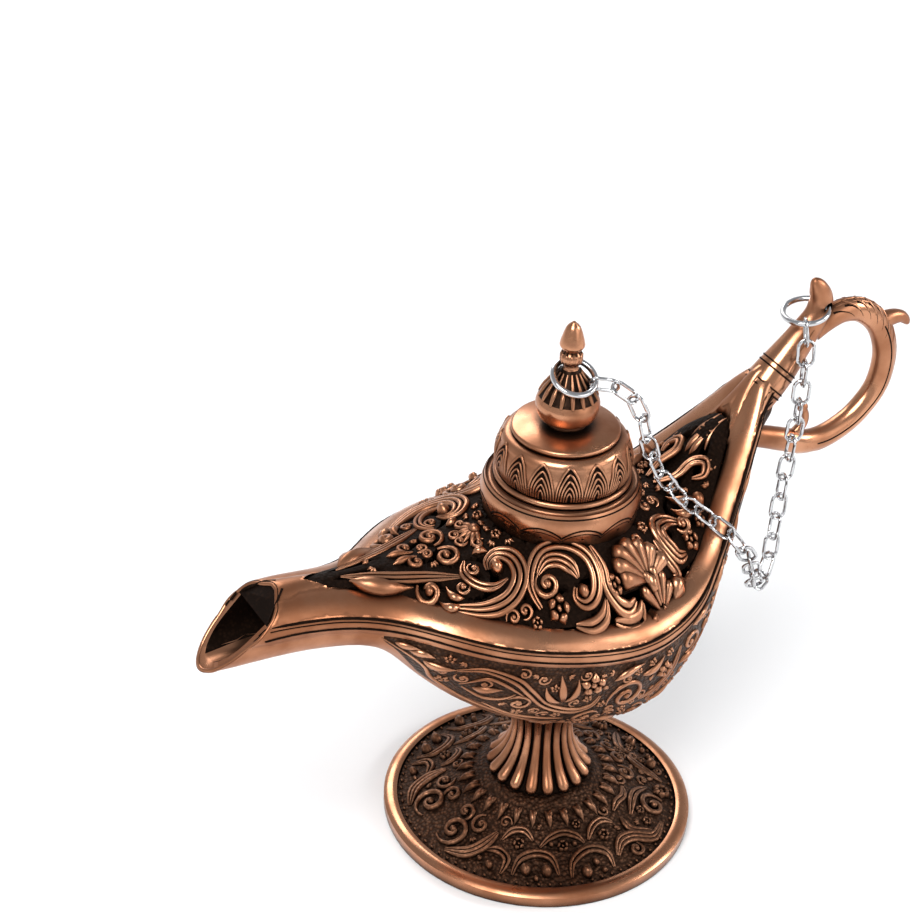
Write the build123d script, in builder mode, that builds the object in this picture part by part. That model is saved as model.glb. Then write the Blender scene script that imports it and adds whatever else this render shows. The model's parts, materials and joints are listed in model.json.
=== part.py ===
from build123d import *
import math
import os

# Genie oil lamp in cast copper-coloured metal. Millimetres, +Z up.
# The origin is the centre of the foot's underside. The spout points along -X and the
# handle along +X. The lid, its collar and the pedestal share the vertical axis.

# Overall sizes
foot_diameter = 54.0
spout_reach = 65.0
rear_reach = 40.8
body_width = 49.2
rim_low_z = 53.2
rim_rise = 21.4
lid_height = 98.5
fit_gap = 0.05
running_gap = 0.1
overrun = 5.0

# Foot plate
foot_radius = foot_diameter / 2
foot_edge = 2.6
foot_band = 2.3
foot_step = 0.5
foot_crown_z = 9.2
foot_crown_radius = 9.6

# Pedestal with its reeds
reed_count = 18
reed_bulge = 0.75
pedestal_foot_radius = 9.6
pedestal_neck_radius = 4.7
pedestal_head_radius = 5.9
pedestal_top_z = 24.9
spigot_radius = 3.6
spigot_depth = 5.0
screw_radius = 1.5
screw_length = 9.0
screw_head_radius = 3.0
screw_head_height = 1.6

# Body castings
wall = 1.4
belly_share = 4 / 3
bead_height = 2.8
bead_bulge = 0.45
moulding_drop = 2.6
moulding_bulge = 0.8
bowl_keel_z = 24.4
mouth_low_z = 51.0
mouth_high_z = 62.0
mouth_run = 12.0
roof_crown = 1.0

# Pierced cover
cover_skin = 1.3
cover_lap = 0.8

# Collar and lid
collar_foot_radius = 12.7
collar_top_radius = 12.5
collar_foot_z = 62.6
collar_waist_radius = 13.2
collar_wall = 1.6
collar_top_z = 70.6
collar_floor_z = 70.0
collar_bore = 8.6
lid_flange_radius = 11.1
lid_disc_radius = 8.9
lid_disc_z = 79.6
plug_depth = 5.0
lid_wall = 1.2
lid_flange_height = 1.1
lid_recess_radius = 8.2
lid_shoulder_radius = 10.4
lid_seat_radius = 3.4
finial_screw_radius = 1.1

# Finial
onion_radius = 5.2
onion_z = 83.4
finial_foot_height = 0.8
onion_waist_radius = 3.2
neck_radius = 1.25
neck_z = 90.2
bead_radius = 1.8
egg_radius = 2.0
egg_z = 94.7

# Handle
neck_width = 4.0
loop_thickness = 4.2
loop_width = 3.8
hole_radius = 0.95
hole_x = 49.2
hole_z = 90.2
curl_ball_radius = 1.0

# Rings and chain
ring_outer_diameter = 8.5
ring_wire = 1.0
ring_slack = 0.2
handle_ring_tip = 10.0
handle_ring_hold = 235.0
finial_ring_diameter = 8.0
finial_ring_lean = 25.0
finial_ring_shift = 1.35
finial_ring_drop = 1.3
finial_ring_hold = 322.0
link_length = 5.2
link_width = 3.3
link_wire = 0.62
link_play = 0.16
link_sides = 6

spout_blank = spout_reach + overrun * 0.6
body_length = spout_blank + rear_reach
half_body = body_width / 2


def along(share):
    """Place along the body, from the spout's blank end to the rear keel."""
    return share * body_length - spout_blank


def level(share):
    """Height above or below the lowest point of the cover's edge, in rim rises."""
    return rim_low_z + share * rim_rise


# Each station of the body: place along it, half width at the groove, half width of the
# cover's opening, height of the opening's edge, and height of the keel.
body_shares = [
    (0.000, 0.150, 0.080, 0.430, -0.085),
    (0.050, 0.196, 0.110, 0.432, -0.088),
    (0.100, 0.228, 0.120, 0.434, -0.080),
    (0.165, 0.252, 0.110, 0.434, -0.085),
    (0.230, 0.280, 0.095, 0.395, -0.120),
    (0.295, 0.368, 0.165, 0.330, -0.205),
    (0.358, 0.577, 0.360, 0.275, -0.520),
    (0.432, 0.813, 0.630, 0.200, -0.870),
    (0.515, 0.955, 0.825, 0.130, -1.120),
    (0.607, 0.995, 0.855, 0.045, -1.270),
    (0.700, 0.922, 0.770, 0.000, -1.345),
    (0.782, 0.775, 0.605, 0.110, -1.190),
    (0.846, 0.575, 0.370, 0.445, -0.870),
    (0.901, 0.380, 0.170, 0.810, -0.370),
    (0.945, 0.225, 0.060, 1.130, 0.270),
    (0.985, 0.115, 0.030, 1.270, 0.800),
]
bore_stations = 14

# The pierced cover: place along the body, half width and edge height as above, and the
# height of its crown on the centreline.
crown_shares = [
    (0.190, 0.040, 0.434, 0.440),
    (0.270, 0.135, 0.362, 0.425),
    (0.342, 0.290, 0.290, 0.412),
    (0.414, 0.570, 0.223, 0.412),
    (0.488, 0.785, 0.158, 0.480),
    (0.562, 0.870, 0.090, 0.620),
    (0.634, 0.840, 0.025, 0.690),
    (0.706, 0.755, 0.000, 0.600),
    (0.778, 0.610, 0.100, 0.500),
    (0.852, 0.345, 0.500, 0.660),
    (0.912, 0.100, 0.880, 0.920),
]

# The opening's outline in plan: place along the body and half width.
opening_tip_share = 0.196
opening_rear_share = 0.925
opening_shares = [
    (0.235, 0.090), (0.300, 0.170), (0.345, 0.317), (0.405, 0.530), (0.465, 0.717),
    (0.515, 0.825), (0.580, 0.862), (0.648, 0.822), (0.702, 0.768), (0.763, 0.638),
    (0.800, 0.545), (0.846, 0.363), (0.888, 0.200),
]


def body_plane(share):
    """Upright plane across the body, with Y to its right and Z up."""
    return Plane(origin=(along(share), 0, 0), x_dir=(0, 1, 0), z_dir=(1, 0, 0))


def bowl_section(share, half, edge, keel, inset, lift):
    """Half-ellipse hull with the bead that stands up along its edge."""
    width = half * half_body - inset
    top = level(edge) - moulding_drop + lift
    low = top - bead_height - lift
    bottom = level(keel) + inset
    middle = (top + low) / 2
    bulge = bead_bulge if inset == 0 else 0
    with BuildSketch(body_plane(share)) as section:
        with BuildLine():
            Line((-width, top), (width, top))
            if bulge:
                ThreePointArc((width, top), (width + bulge, middle), (width, low))
                ThreePointArc((-width, low), (-width - bulge, middle), (-width, top))
            else:
                Line((width, top), (width, low))
                Line((-width, low), (-width, top))
            pull = low - (low - bottom) * belly_share
            Bezier((-width, low), (-width, pull), (width, pull), (width, low))
        make_face()
    return section.sketch


def rim_section(share, half, inner, edge):
    """Broad rounded moulding that slopes from the opening's edge to the groove."""
    width = half * half_body
    shelf = max(inner * half_body, wall)
    top = level(edge)
    bottom = top - moulding_drop + fit_gap
    out = (width + shelf) / 2 + moulding_bulge / 2
    rise = (top + bottom) / 2 + moulding_bulge / 2
    with BuildSketch(body_plane(share)) as section:
        with BuildLine():
            Line((-width, bottom), (width, bottom))
            ThreePointArc((width, bottom), (out, rise), (shelf, top))
            ThreePointArc((shelf, top), (0, top + roof_crown), (-shelf, top))
            ThreePointArc((-shelf, top), (-out, rise), (-width, bottom))
        make_face()
    return section.sketch


def opening_points(side, inset):
    """Half of the cover's outline in plan, drawn in by an inset."""
    places = [(along(opening_tip_share) + inset * 2, 0)]
    places += [(along(place), side * (half * half_body - inset)) for place, half in opening_shares]
    return places + [(along(opening_rear_share) - inset * 2, 0)]


def mouth_plane():
    """Slanted plane that cuts the spout's mouth, its normal pointing forward and up."""
    rise = mouth_high_z - mouth_low_z
    lip = (-spout_reach, 0, mouth_low_z)
    return Plane(origin=lip, x_dir=(0, 1, 0), z_dir=(-rise, 0, mouth_run))


# Foot plate: a flat rest face, a plain band round the edge and a domed field
foot_field_z = foot_edge - foot_step
foot_field_radius = foot_radius - foot_band
foot_bore_depth = spigot_depth + fit_gap
with BuildPart() as foot:
    with BuildSketch(Plane.XZ):
        with BuildLine():
            Polyline((0, 0), (foot_radius - foot_step, 0), (foot_radius, foot_step))
            Line((foot_radius, foot_step), (foot_radius, foot_edge - foot_step))
            ThreePointArc(
                (foot_radius, foot_edge - foot_step),
                (foot_radius - foot_band / 3, foot_edge),
                (foot_field_radius, foot_edge),
            )
            Line((foot_field_radius, foot_edge), (foot_field_radius, foot_field_z))
            ThreePointArc(
                (foot_field_radius, foot_field_z),
                (
                    (foot_field_radius + foot_crown_radius) / 2,
                    (foot_field_z + foot_crown_z) / 2 - foot_step,
                ),
                (foot_crown_radius, foot_crown_z),
            )
            Line((foot_crown_radius, foot_crown_z), (0, foot_crown_z))
            Line((0, foot_crown_z), (0, 0))
        make_face()
    revolve(axis=Axis.Z)
    with BuildSketch(Plane.XY.offset(foot_crown_z)):
        Circle(spigot_radius + fit_gap)
    extrude(amount=-foot_bore_depth, mode=Mode.SUBTRACT)


def reeded_section(height, radius):
    """Ring of convex reeds round the pedestal at one height."""
    step = 360 / reed_count
    bulge = reed_bulge * radius / pedestal_neck_radius
    with BuildSketch(Plane.XY.offset(height)) as section:
        with BuildLine():
            for reed in range(reed_count):
                start = Vector(radius, 0).rotate(Axis.Z, reed * step)
                crest = Vector(radius + bulge, 0).rotate(Axis.Z, (reed + 0.5) * step)
                end = Vector(radius, 0).rotate(Axis.Z, (reed + 1) * step)
                ThreePointArc(start, crest, end)
        make_face()
    return section.sketch


# Pedestal: a reeded trumpet that stands in the foot and carries the bowl
pedestal_height = pedestal_top_z - foot_crown_z
# Height share up the trumpet, and how far the radius has run from neck to foot.
flare_shares = [(0.0, 1.0), (0.12, 0.72), (0.3, 0.38), (0.55, 0.1), (0.78, 0.0)]
flare_spread = pedestal_foot_radius - reed_bulge * 2 - pedestal_neck_radius
with BuildPart() as pedestal:
    trumpet = [
        reeded_section(
            foot_crown_z + height_share * pedestal_height,
            pedestal_neck_radius + flare * flare_spread,
        )
        for height_share, flare in flare_shares
    ]
    trumpet.append(reeded_section(pedestal_top_z, pedestal_head_radius))
    loft(sections=trumpet)
    with BuildSketch(Plane.XY.offset(foot_crown_z)):
        Circle(spigot_radius)
    extrude(amount=-spigot_depth)
    with BuildSketch(Plane.XY.offset(pedestal_top_z)):
        Circle(screw_radius + fit_gap)
    extrude(amount=-screw_length, mode=Mode.SUBTRACT)

# Bowl: the lower casting, from the spout's trough to the rear keel, hollow and open on top
with BuildPart() as bowl:
    loft(
        sections=[
            bowl_section(place, half, edge, keel, 0, 0)
            for place, half, inner, edge, keel in body_shares
        ]
    )
    loft(
        sections=[
            bowl_section(place, half, edge, keel, wall, overrun)
            for place, half, inner, edge, keel in body_shares[:bore_stations]
        ],
        mode=Mode.SUBTRACT,
    )
    split(bisect_by=mouth_plane(), keep=Keep.BOTTOM)
    # A flat pad under the keel seats the pedestal, and the fixing screw passes through it.
    with BuildSketch(Plane.XY.offset(pedestal_top_z)):
        Circle(pedestal_head_radius)
    extrude(amount=wall * 2)
    with BuildSketch(Plane.XY.offset(pedestal_top_z)):
        Circle(pedestal_head_radius + reed_bulge * 2)
    extrude(amount=-overrun, mode=Mode.SUBTRACT)
    with BuildSketch(Plane.XY.offset(pedestal_top_z)):
        Circle(screw_radius + fit_gap)
    extrude(amount=wall * 2, mode=Mode.SUBTRACT)

# Screw that ties the bowl to the pedestal from inside
with BuildPart() as bowl_screw:
    head_z = pedestal_top_z + wall * 2
    with BuildSketch(Plane.XY.offset(head_z)):
        Circle(screw_head_radius)
    extrude(amount=screw_head_height)
    with BuildSketch(Plane.XY.offset(head_z)):
        Circle(screw_radius)
    extrude(amount=-(screw_length + wall * 2 - overrun / 5))

# Rim: the moulding round the cover, with the arched roof of the spout in one piece
with BuildPart() as rim:
    loft(sections=[rim_section(*shares[:-1]) for shares in body_shares])
    with BuildSketch(Plane.XY.offset(rim_low_z - moulding_drop - overrun)):
        with BuildLine():
            Spline(*opening_points(1, 0))
            Spline(*opening_points(-1, 0))
        make_face()
    extrude(amount=rim_rise * 2, mode=Mode.SUBTRACT)
    split(bisect_by=mouth_plane(), keep=Keep.BOTTOM)
    add(bowl.part, mode=Mode.SUBTRACT)


def cover_section(share, half, edge, crown, drop):
    """Crowned section of the cover, with its chord a lap below the opening's edge."""
    width = half * half_body + cover_lap + drop
    chord = level(edge) - cover_lap - drop
    with BuildSketch(body_plane(share)) as section:
        with BuildLine():
            Line((-width, chord - cover_skin), (width, chord - cover_skin))
            Line((width, chord - cover_skin), (width, chord))
            ThreePointArc((width, chord), (0, level(crown) - drop), (-width, chord))
            Line((-width, chord), (-width, chord - cover_skin))
        make_face()
    return section.sketch


# Each scroll pierced in the cover: place along the body and across it, radius of its outer
# turn and the angle at which the scroll opens.
scroll_shares = [
    (0.437, 0.346, 0.156, 200),
    (0.418, 0.105, 0.092, 20),
    (0.487, 0.600, 0.104, 250),
    (0.796, 0.309, 0.112, 330),
    (0.811, 0.090, 0.072, 160),
]
# Leaf-shaped slots: both ends, along and across the body, and the width of the leaf.
leaf_shares = [
    (0.239, 0.045, 0.322, 0.060, 0.050),
    (0.331, 0.130, 0.395, 0.340, 0.080),
    (0.340, 0.040, 0.400, 0.110, 0.060),
    (0.512, 0.640, 0.550, 0.680, 0.050),
    (0.565, 0.672, 0.607, 0.690, 0.050),
    (0.625, 0.690, 0.665, 0.668, 0.050),
    (0.685, 0.620, 0.722, 0.560, 0.050),
    (0.742, 0.500, 0.768, 0.420, 0.056),
    (0.836, 0.187, 0.882, 0.057, 0.066),
]


def crescent(centre, radius, opening, inner):
    """Moon-shaped face: a wide arc outside and a flatter one inside."""
    tip = Vector(radius, 0).rotate(Axis.Z, opening + 50)
    tail = Vector(radius, 0).rotate(Axis.Z, opening - 50)
    back = Vector(-radius, 0).rotate(Axis.Z, opening)
    with BuildSketch() as face:
        with BuildLine():
            ThreePointArc(centre + tip, centre + back, centre + tail)
            ThreePointArc(centre + tail, centre + back * inner, centre + tip)
        make_face()
    return face.sketch


def leaf_slot(start, end, width):
    """Pointed leaf between two places."""
    middle = (start + end) * 0.5
    swell = (end - start).normalized().rotate(Axis.Z, 90) * (width / 2)
    with BuildSketch() as face:
        with BuildLine():
            ThreePointArc(start, middle + swell, end)
            ThreePointArc(end, middle - swell, start)
        make_face()
    return face.sketch


def cover_place(place, across):
    return Vector(along(place), across * half_body)


# Plan of the gaps between the scrolls and leaves, alike on both sides
scroll_core = 0.62
eye_share = 0.2
with BuildSketch() as piercing:
    for side in (1, -1):
        for place, across, size, turn in scroll_shares:
            centre = cover_place(place, across * side)
            radius = size * half_body
            add(crescent(centre, radius, turn * side, scroll_core))
            with Locations(centre):
                Circle(radius * eye_share)
        for place, across, end_place, end_across, width in leaf_shares:
            start = cover_place(place, across * side)
            end = cover_place(end_place, end_across * side)
            add(leaf_slot(start, end, width * half_body))
with BuildSketch() as opening:
    with BuildLine():
        Spline(*opening_points(1, fit_gap))
        Spline(*opening_points(-1, fit_gap))
    make_face()

# Cover: one crowned skin inside the rim, pierced, with a round seat for the collar
cover_floor = Plane.XY.offset(rim_low_z - overrun)
with BuildPart() as cover:
    extrude(cover_floor * opening.sketch, amount=rim_rise * 2)
    loft(sections=[cover_section(*shares, 0) for shares in crown_shares], mode=Mode.INTERSECT)
    loft(sections=[cover_section(*shares, cover_skin) for shares in crown_shares], mode=Mode.SUBTRACT)
    extrude(cover_floor * piercing.sketch, amount=rim_rise * 2, mode=Mode.SUBTRACT)
    with BuildSketch(cover_floor):
        Circle(collar_foot_radius + fit_gap)
    extrude(amount=rim_rise * 2, mode=Mode.SUBTRACT)

# Collar: the ring on the cover that the lid sits in, dished on top and open beneath
with BuildPart() as collar:
    skirt_z = collar_foot_z + cover_skin * 2
    with BuildSketch(Plane.XZ):
        with BuildLine():
            Polyline(
                (collar_foot_radius - collar_wall, collar_foot_z),
                (collar_foot_radius, collar_foot_z),
                (collar_foot_radius, skirt_z),
            )
            ThreePointArc(
                (collar_foot_radius, skirt_z),
                (collar_waist_radius, (skirt_z + collar_top_z) / 2),
                (collar_top_radius, collar_top_z - collar_wall / 2),
            )
            ThreePointArc(
                (collar_top_radius, collar_top_z - collar_wall / 2),
                (collar_top_radius - collar_wall / 3, collar_top_z),
                (collar_top_radius - collar_wall / 1.5, collar_top_z - collar_wall / 4),
            )
            Polyline(
                (collar_top_radius - collar_wall / 1.5, collar_top_z - collar_wall / 4),
                (lid_flange_radius + running_gap * 3, collar_floor_z),
                (collar_bore, collar_floor_z),
                (collar_bore, collar_floor_z - collar_wall),
                (collar_waist_radius - collar_wall, collar_floor_z - collar_wall),
                (collar_foot_radius - collar_wall, collar_foot_z),
            )
        make_face()
    revolve(axis=Axis.Z)

# Lid: a hollow shell with a bead, a bulging band and a flat disc that carries the finial
lid_foot_z = collar_floor_z + running_gap
band_low_z = lid_foot_z + lid_flange_height
disc_low_z = lid_disc_z - lid_wall
band_high_z = disc_low_z - lid_wall / 2
band_radius = lid_flange_radius - lid_wall / 3
shoulder_z = band_high_z - lid_wall
with BuildPart() as lid_shell:
    with BuildSketch(Plane.XZ):
        with BuildLine():
            Line((lid_flange_radius - lid_wall * 1.5, lid_foot_z), (lid_flange_radius, lid_foot_z))
            ThreePointArc(
                (lid_flange_radius, lid_foot_z),
                (lid_flange_radius + lid_wall / 5, (lid_foot_z + band_low_z) / 2),
                (lid_flange_radius - lid_wall / 2, band_low_z),
            )
            ThreePointArc(
                (lid_flange_radius - lid_wall / 2, band_low_z),
                (band_radius + lid_wall / 3, (band_low_z + shoulder_z) / 2),
                (lid_shoulder_radius, shoulder_z),
            )
            ThreePointArc(
                (lid_shoulder_radius, shoulder_z),
                (lid_shoulder_radius - lid_wall / 4, band_high_z - lid_wall / 4),
                (lid_recess_radius + lid_wall / 2, band_high_z),
            )
            Polyline(
                (lid_recess_radius + lid_wall / 2, band_high_z),
                (lid_recess_radius, band_high_z),
                (lid_recess_radius, disc_low_z),
                (lid_disc_radius, disc_low_z + lid_wall / 4),
                (lid_disc_radius, lid_disc_z - lid_wall / 3),
                (lid_seat_radius, lid_disc_z + lid_wall / 3),
                (finial_screw_radius + fit_gap, lid_disc_z + lid_wall / 3),
                (finial_screw_radius + fit_gap, disc_low_z),
                (lid_recess_radius - lid_wall, disc_low_z),
                (lid_recess_radius - lid_wall, band_high_z - lid_wall),
            )
            ThreePointArc(
                (lid_recess_radius - lid_wall, band_high_z - lid_wall),
                (band_radius - lid_wall, (band_low_z + band_high_z) / 2),
                (lid_flange_radius - lid_wall * 1.5, band_low_z),
            )
            Line(
                (lid_flange_radius - lid_wall * 1.5, band_low_z),
                (lid_flange_radius - lid_wall * 1.5, lid_foot_z),
            )
        make_face()
    revolve(axis=Axis.Z)

# Plug: the short tube under the lid that drops into the collar's bore
plug_radius = collar_bore - running_gap
plug_lip_radius = lid_flange_radius - lid_wall * 1.5 - fit_gap
with BuildPart() as lid_plug:
    with BuildSketch(Plane.XZ):
        with BuildLine():
            Polyline(
                (plug_radius - lid_wall, lid_foot_z - plug_depth),
                (plug_radius, lid_foot_z - plug_depth),
                (plug_radius, lid_foot_z),
                (plug_lip_radius, lid_foot_z),
                (plug_lip_radius, band_low_z),
                (plug_radius - lid_wall, band_low_z),
                (plug_radius - lid_wall, lid_foot_z - plug_depth),
            )
        make_face()
    revolve(axis=Axis.Z)

# The onion's outline: radius, and height from its widest place to its neck.
onion_shares = [(0.86, -0.32), (1.0, 0.0), (0.93, 0.22), (0.7, 0.5), (0.42, 0.78)]

# Finial: a foot, an onion drawn out to a thin neck, a bead and an egg with a point
finial_foot_z = lid_disc_z + lid_wall / 3
waist_z = finial_foot_z + finial_foot_height
with BuildPart() as finial:
    with BuildSketch(Plane.XZ):
        with BuildLine():
            Polyline(
                (0, finial_foot_z),
                (lid_seat_radius, finial_foot_z),
                (lid_seat_radius, waist_z - finial_foot_height / 3),
                (onion_waist_radius, waist_z),
            )
            Spline(
                (onion_waist_radius, waist_z),
                *[
                    (onion_radius * reach, onion_z + rise * (neck_z - onion_z))
                    for reach, rise in onion_shares
                ],
                (neck_radius, neck_z),
            )
            Line((neck_radius, neck_z), (neck_radius, neck_z + neck_radius / 2))
            ThreePointArc(
                (neck_radius, neck_z + neck_radius / 2),
                (bead_radius, neck_z + neck_radius * 1.4),
                (neck_radius, neck_z + neck_radius * 2.3),
            )
            Spline(
                (neck_radius, neck_z + neck_radius * 2.3),
                (egg_radius, egg_z),
                (egg_radius * 0.62, egg_z * 0.35 + lid_height * 0.65),
                (0, lid_height),
                tangents=((1, 1), (-1, 0.25)),
            )
            Line((0, lid_height), (0, finial_foot_z))
        make_face()
    revolve(axis=Axis.Z)
    with BuildSketch(Plane.XY.offset(finial_foot_z)):
        Circle(finial_screw_radius + fit_gap)
    extrude(amount=onion_z - finial_foot_z, mode=Mode.SUBTRACT)

# Screw that holds the finial from inside the lid
with BuildPart() as finial_screw:
    with BuildSketch(Plane.XY.offset(disc_low_z)):
        Circle(finial_screw_radius)
    extrude(amount=onion_z - disc_low_z - fit_gap * 2)
    with BuildSketch(Plane.XY.offset(disc_low_z)):
        Circle(finial_screw_radius * 2)
    extrude(amount=-lid_wall)

# Handle neck: rises from the rim's rear point and curls forward into a pierced hook.
# Stations: place behind the body and height above its rear top, in neck widths, then the
# slope of the path in degrees, and the width and thickness, in neck widths.
neck_shares = [
    (0.08, -0.80, 4, 1.50, 1.90),
    (0.68, 0.00, 48, 1.38, 1.70),
    (1.51, 1.03, 52, 1.16, 1.36),
    (2.22, 1.98, 62, 0.96, 1.14),
    (2.32, 2.76, 92, 0.88, 1.08),
    (2.10, 3.34, 118, 0.68, 0.80),
    (1.72, 3.72, 142, 0.32, 0.34),
]
body_rear_x = along(body_shares[-1][0])
body_rear_z = level(body_shares[-1][3])


def oval_section(plane, width, thickness):
    """Closed oval of two even halves, so that sections of any proportion loft together."""
    reach = width / 2
    pull = thickness / 2 * belly_share
    with BuildSketch(plane) as section:
        with BuildLine():
            Bezier((reach, 0), (reach, pull), (-reach, pull), (-reach, 0))
            Bezier((-reach, 0), (-reach, -pull), (reach, -pull), (reach, 0))
        make_face()
    return section.sketch


def neck_section(place, height, slope, width, thickness):
    """Oval section of the neck, square to its path."""
    direction = Vector(1, 0).rotate(Axis.Z, slope)
    origin = (body_rear_x + place * neck_width, 0, body_rear_z + height * neck_width)
    plane = Plane(origin=origin, x_dir=(0, 1, 0), z_dir=(direction.X, 0, direction.Y))
    return oval_section(plane, width * neck_width, thickness * neck_width)


with BuildPart() as handle_neck:
    loft(sections=[neck_section(*shares) for shares in reversed(neck_shares)])
    with BuildSketch(Plane.XZ):
        with Locations((hole_x, hole_z)):
            Circle(hole_radius)
    extrude(amount=neck_width, both=True, mode=Mode.SUBTRACT)

# Handle loop: the finger ring behind the neck, with a thumb leaf and an inward curl.
# Places in neck widths behind the body's rear end and above its top.
loop_shares = [(2.3, 1.36), (4.65, 1.65), (6.22, -0.73), (5.22, -3.43), (3.25, -4.35), (1.35, -3.93)]
loop_rise_share = (3.6, 1.88)
loop_end_share = (-0.5, -3.23)
leaf_spine_shares = [
    (5.75, 0.82, 20, 0.70, 0.80), (6.65, 0.92, -10, 0.50, 0.62), (7.15, 0.62, -50, 0.25, 0.30),
    (7.35, 0.32, -70, 0.08, 0.08),
]
curl_shares = [(1.75, -3.78), (2.35, -3.18), (2.15, -2.48)]


def neck_place(share):
    """Place in the handle's plane, in neck widths from the top of the body's rear end."""
    return (body_rear_x + share[0] * neck_width, body_rear_z + share[1] * neck_width)


with BuildPart() as handle_loop:
    with BuildLine(Plane.XZ) as loop_path:
        first, second, *rest = [neck_place(share) for share in loop_shares]
        bend = ThreePointArc(first, neck_place(loop_rise_share), second)
        for target in rest + [neck_place(loop_end_share)]:
            bend = TangentArc(bend @ 1, target, tangent=bend % 1)
    start_plane = Plane(
        origin=loop_path.line @ 0, x_dir=(0, 1, 0), z_dir=loop_path.line % 0
    )
    sweep(sections=oval_section(start_plane, loop_width, loop_thickness), path=loop_path.line)
    loft(sections=[neck_section(*shares) for shares in leaf_spine_shares])
    with BuildLine(Plane.XZ) as curl_path:
        ThreePointArc(*[neck_place(share) for share in curl_shares])
    curl_plane = Plane(
        origin=curl_path.line @ 0, x_dir=(0, 1, 0), z_dir=curl_path.line % 0
    )
    curl_wire = curl_ball_radius * 1.4
    sweep(sections=oval_section(curl_plane, curl_wire, curl_wire), path=curl_path.line)
    with Locations(curl_path.line @ 1):
        Sphere(curl_ball_radius)
    add(handle_neck.part, mode=Mode.SUBTRACT)
    add(bowl.part, mode=Mode.SUBTRACT)

# Ring through the hook: it lies forward over the neck, tipped a little down
handle_ring_radius = (ring_outer_diameter - ring_wire) / 2
finial_ring_radius = (finial_ring_diameter - ring_wire) / 2


def wire_ring(plane, radius):
    """Closed ring of round wire."""
    with BuildPart() as ring:
        with BuildSketch(Plane(origin=plane.origin, x_dir=plane.x_dir, z_dir=plane.y_dir)):
            with Locations((radius, 0)):
                Circle(ring_wire / 2)
        revolve(axis=Axis(plane.origin, plane.z_dir))
    return ring


ring_tip = math.radians(handle_ring_tip)
hook_place = Vector(hole_x, 0, hole_z)
handle_ring_centre = hook_place - Vector(math.cos(ring_tip), 0, math.sin(ring_tip)) * (
    handle_ring_radius - ring_slack
)
handle_ring_plane = Plane(
    origin=handle_ring_centre,
    x_dir=(math.cos(ring_tip), 0, math.sin(ring_tip)),
    z_dir=(-math.sin(ring_tip), 0, math.cos(ring_tip)),
)
handle_ring = wire_ring(handle_ring_plane, handle_ring_radius)

# Ring round the finial's neck: it leans down on the onion toward the front
lean = math.radians(finial_ring_lean)
finial_ring_plane = Plane(
    origin=(0, -finial_ring_shift, neck_z - finial_ring_drop),
    x_dir=(1, 0, 0),
    z_dir=(0, -math.sin(lean), math.cos(lean)),
)
finial_ring = wire_ring(finial_ring_plane, finial_ring_radius)

# Chain: its route from the finial's ring over the rim and up to the handle's ring
link_inside = link_length / 2 - link_wire
link_pitch = (link_inside - link_play) * 2
link_grip = link_pitch / 2 - (link_inside - ring_wire / 2 - link_play / 2)
route_places = [
    (8.2, -7.9, 85.2), (9.6, -9.9, 78.3), (11.9, -10.7, 72.9), (16.1, -12.2, 67.5),
    (21.6, -13.7, 62.6), (23.5, -16.3, 60.9), (25.2, -17.4, 58.5), (30.0, -14.2, 51.2),
    (32.4, -12.1, 46.4), (35.2, -10.0, 43.9), (37.9, -8.4, 45.0), (38.9, -7.6, 49.2),
    (40.3, -6.3, 54.0), (41.2, -5.6, 60.0), (42.4, -5.0, 66.5), (42.9, -5.0, 72.5),
    (43.0, -5.0, 77.0), (43.2, -4.8, 82.5),
]
finial_hold = finial_ring_plane.from_local_coords(
    Vector(finial_ring_radius, 0).rotate(Axis.Z, finial_ring_hold)
)
handle_hold = handle_ring_plane.from_local_coords(
    Vector(handle_ring_radius, 0).rotate(Axis.Z, handle_ring_hold)
)
chain_start = finial_hold - (Vector(route_places[0]) - finial_hold).normalized() * link_grip
chain_end = handle_hold - (Vector(route_places[-1]) - handle_hold).normalized() * link_grip
with BuildLine():
    route = Spline(chain_start, *route_places, chain_end)
route_length = route.length
link_count = math.ceil(route_length / link_pitch)
print("chain", round(route_length, 1), "links", link_count, "pitch", round(route_length / link_count, 3))


def chain_link(low, high, side):
    """Oval link of round wire between two pivots, flat to a side direction."""
    along_link = (high - low).normalized()
    plane = Plane(origin=(low + high) * 0.5, x_dir=along_link, z_dir=side)
    bend = (link_width - link_wire) / 2
    straight = (link_length - link_width) / 2
    with BuildPart() as link:
        with BuildLine(plane) as path:
            Line((-straight, bend), (straight, bend))
            ThreePointArc((straight, bend), (straight + bend, 0), (straight, -bend))
            Line((straight, -bend), (-straight, -bend))
            ThreePointArc((-straight, -bend), (-straight - bend, 0), (-straight, bend))
        centre = plane.from_local_coords(Vector(-straight, bend))
        with BuildSketch(Plane(origin=centre, x_dir=side, z_dir=along_link)) as wire:
            RegularPolygon(link_wire / 2, link_sides)
        sweep(sections=wire.sketch, path=path.line)
    return link


def across(direction, length):
    """Part of a direction that is square to a link's length."""
    return (direction - length * direction.dot(length)).normalized()


def turned_sides(wire, twist):
    """Side direction of each link, a quarter turn and a slight twist on from the link before."""
    sides = [across(wire, lengths[0])]
    for length in lengths[1:]:
        side = across(sides[-1], length)
        sides.append(side.rotate(Axis((0, 0, 0), length), 90 + twist))
    return sides


pivots = [route @ (index / link_count) for index in range(link_count + 1)]
lengths = [(high - low).normalized() for low, high in zip(pivots, pivots[1:])]
finial_wire = (finial_hold - finial_ring_plane.origin).cross(finial_ring_plane.z_dir)
handle_wire = (handle_hold - handle_ring_plane.origin).cross(handle_ring_plane.z_dir)
square_end = turned_sides(finial_wire, 0)[-1]
end_turn = square_end.get_signed_angle(across(handle_wire, lengths[-1]), lengths[-1])
link_twist = ((end_turn + 90) % 180 - 90) / (link_count - 1)
print("end turn", round(end_turn, 1), "twist of each link", round(link_twist, 2))
links = [
    chain_link(low, high, side)
    for low, high, side in zip(pivots, pivots[1:], turned_sides(finial_wire, link_twist))
]

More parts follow.
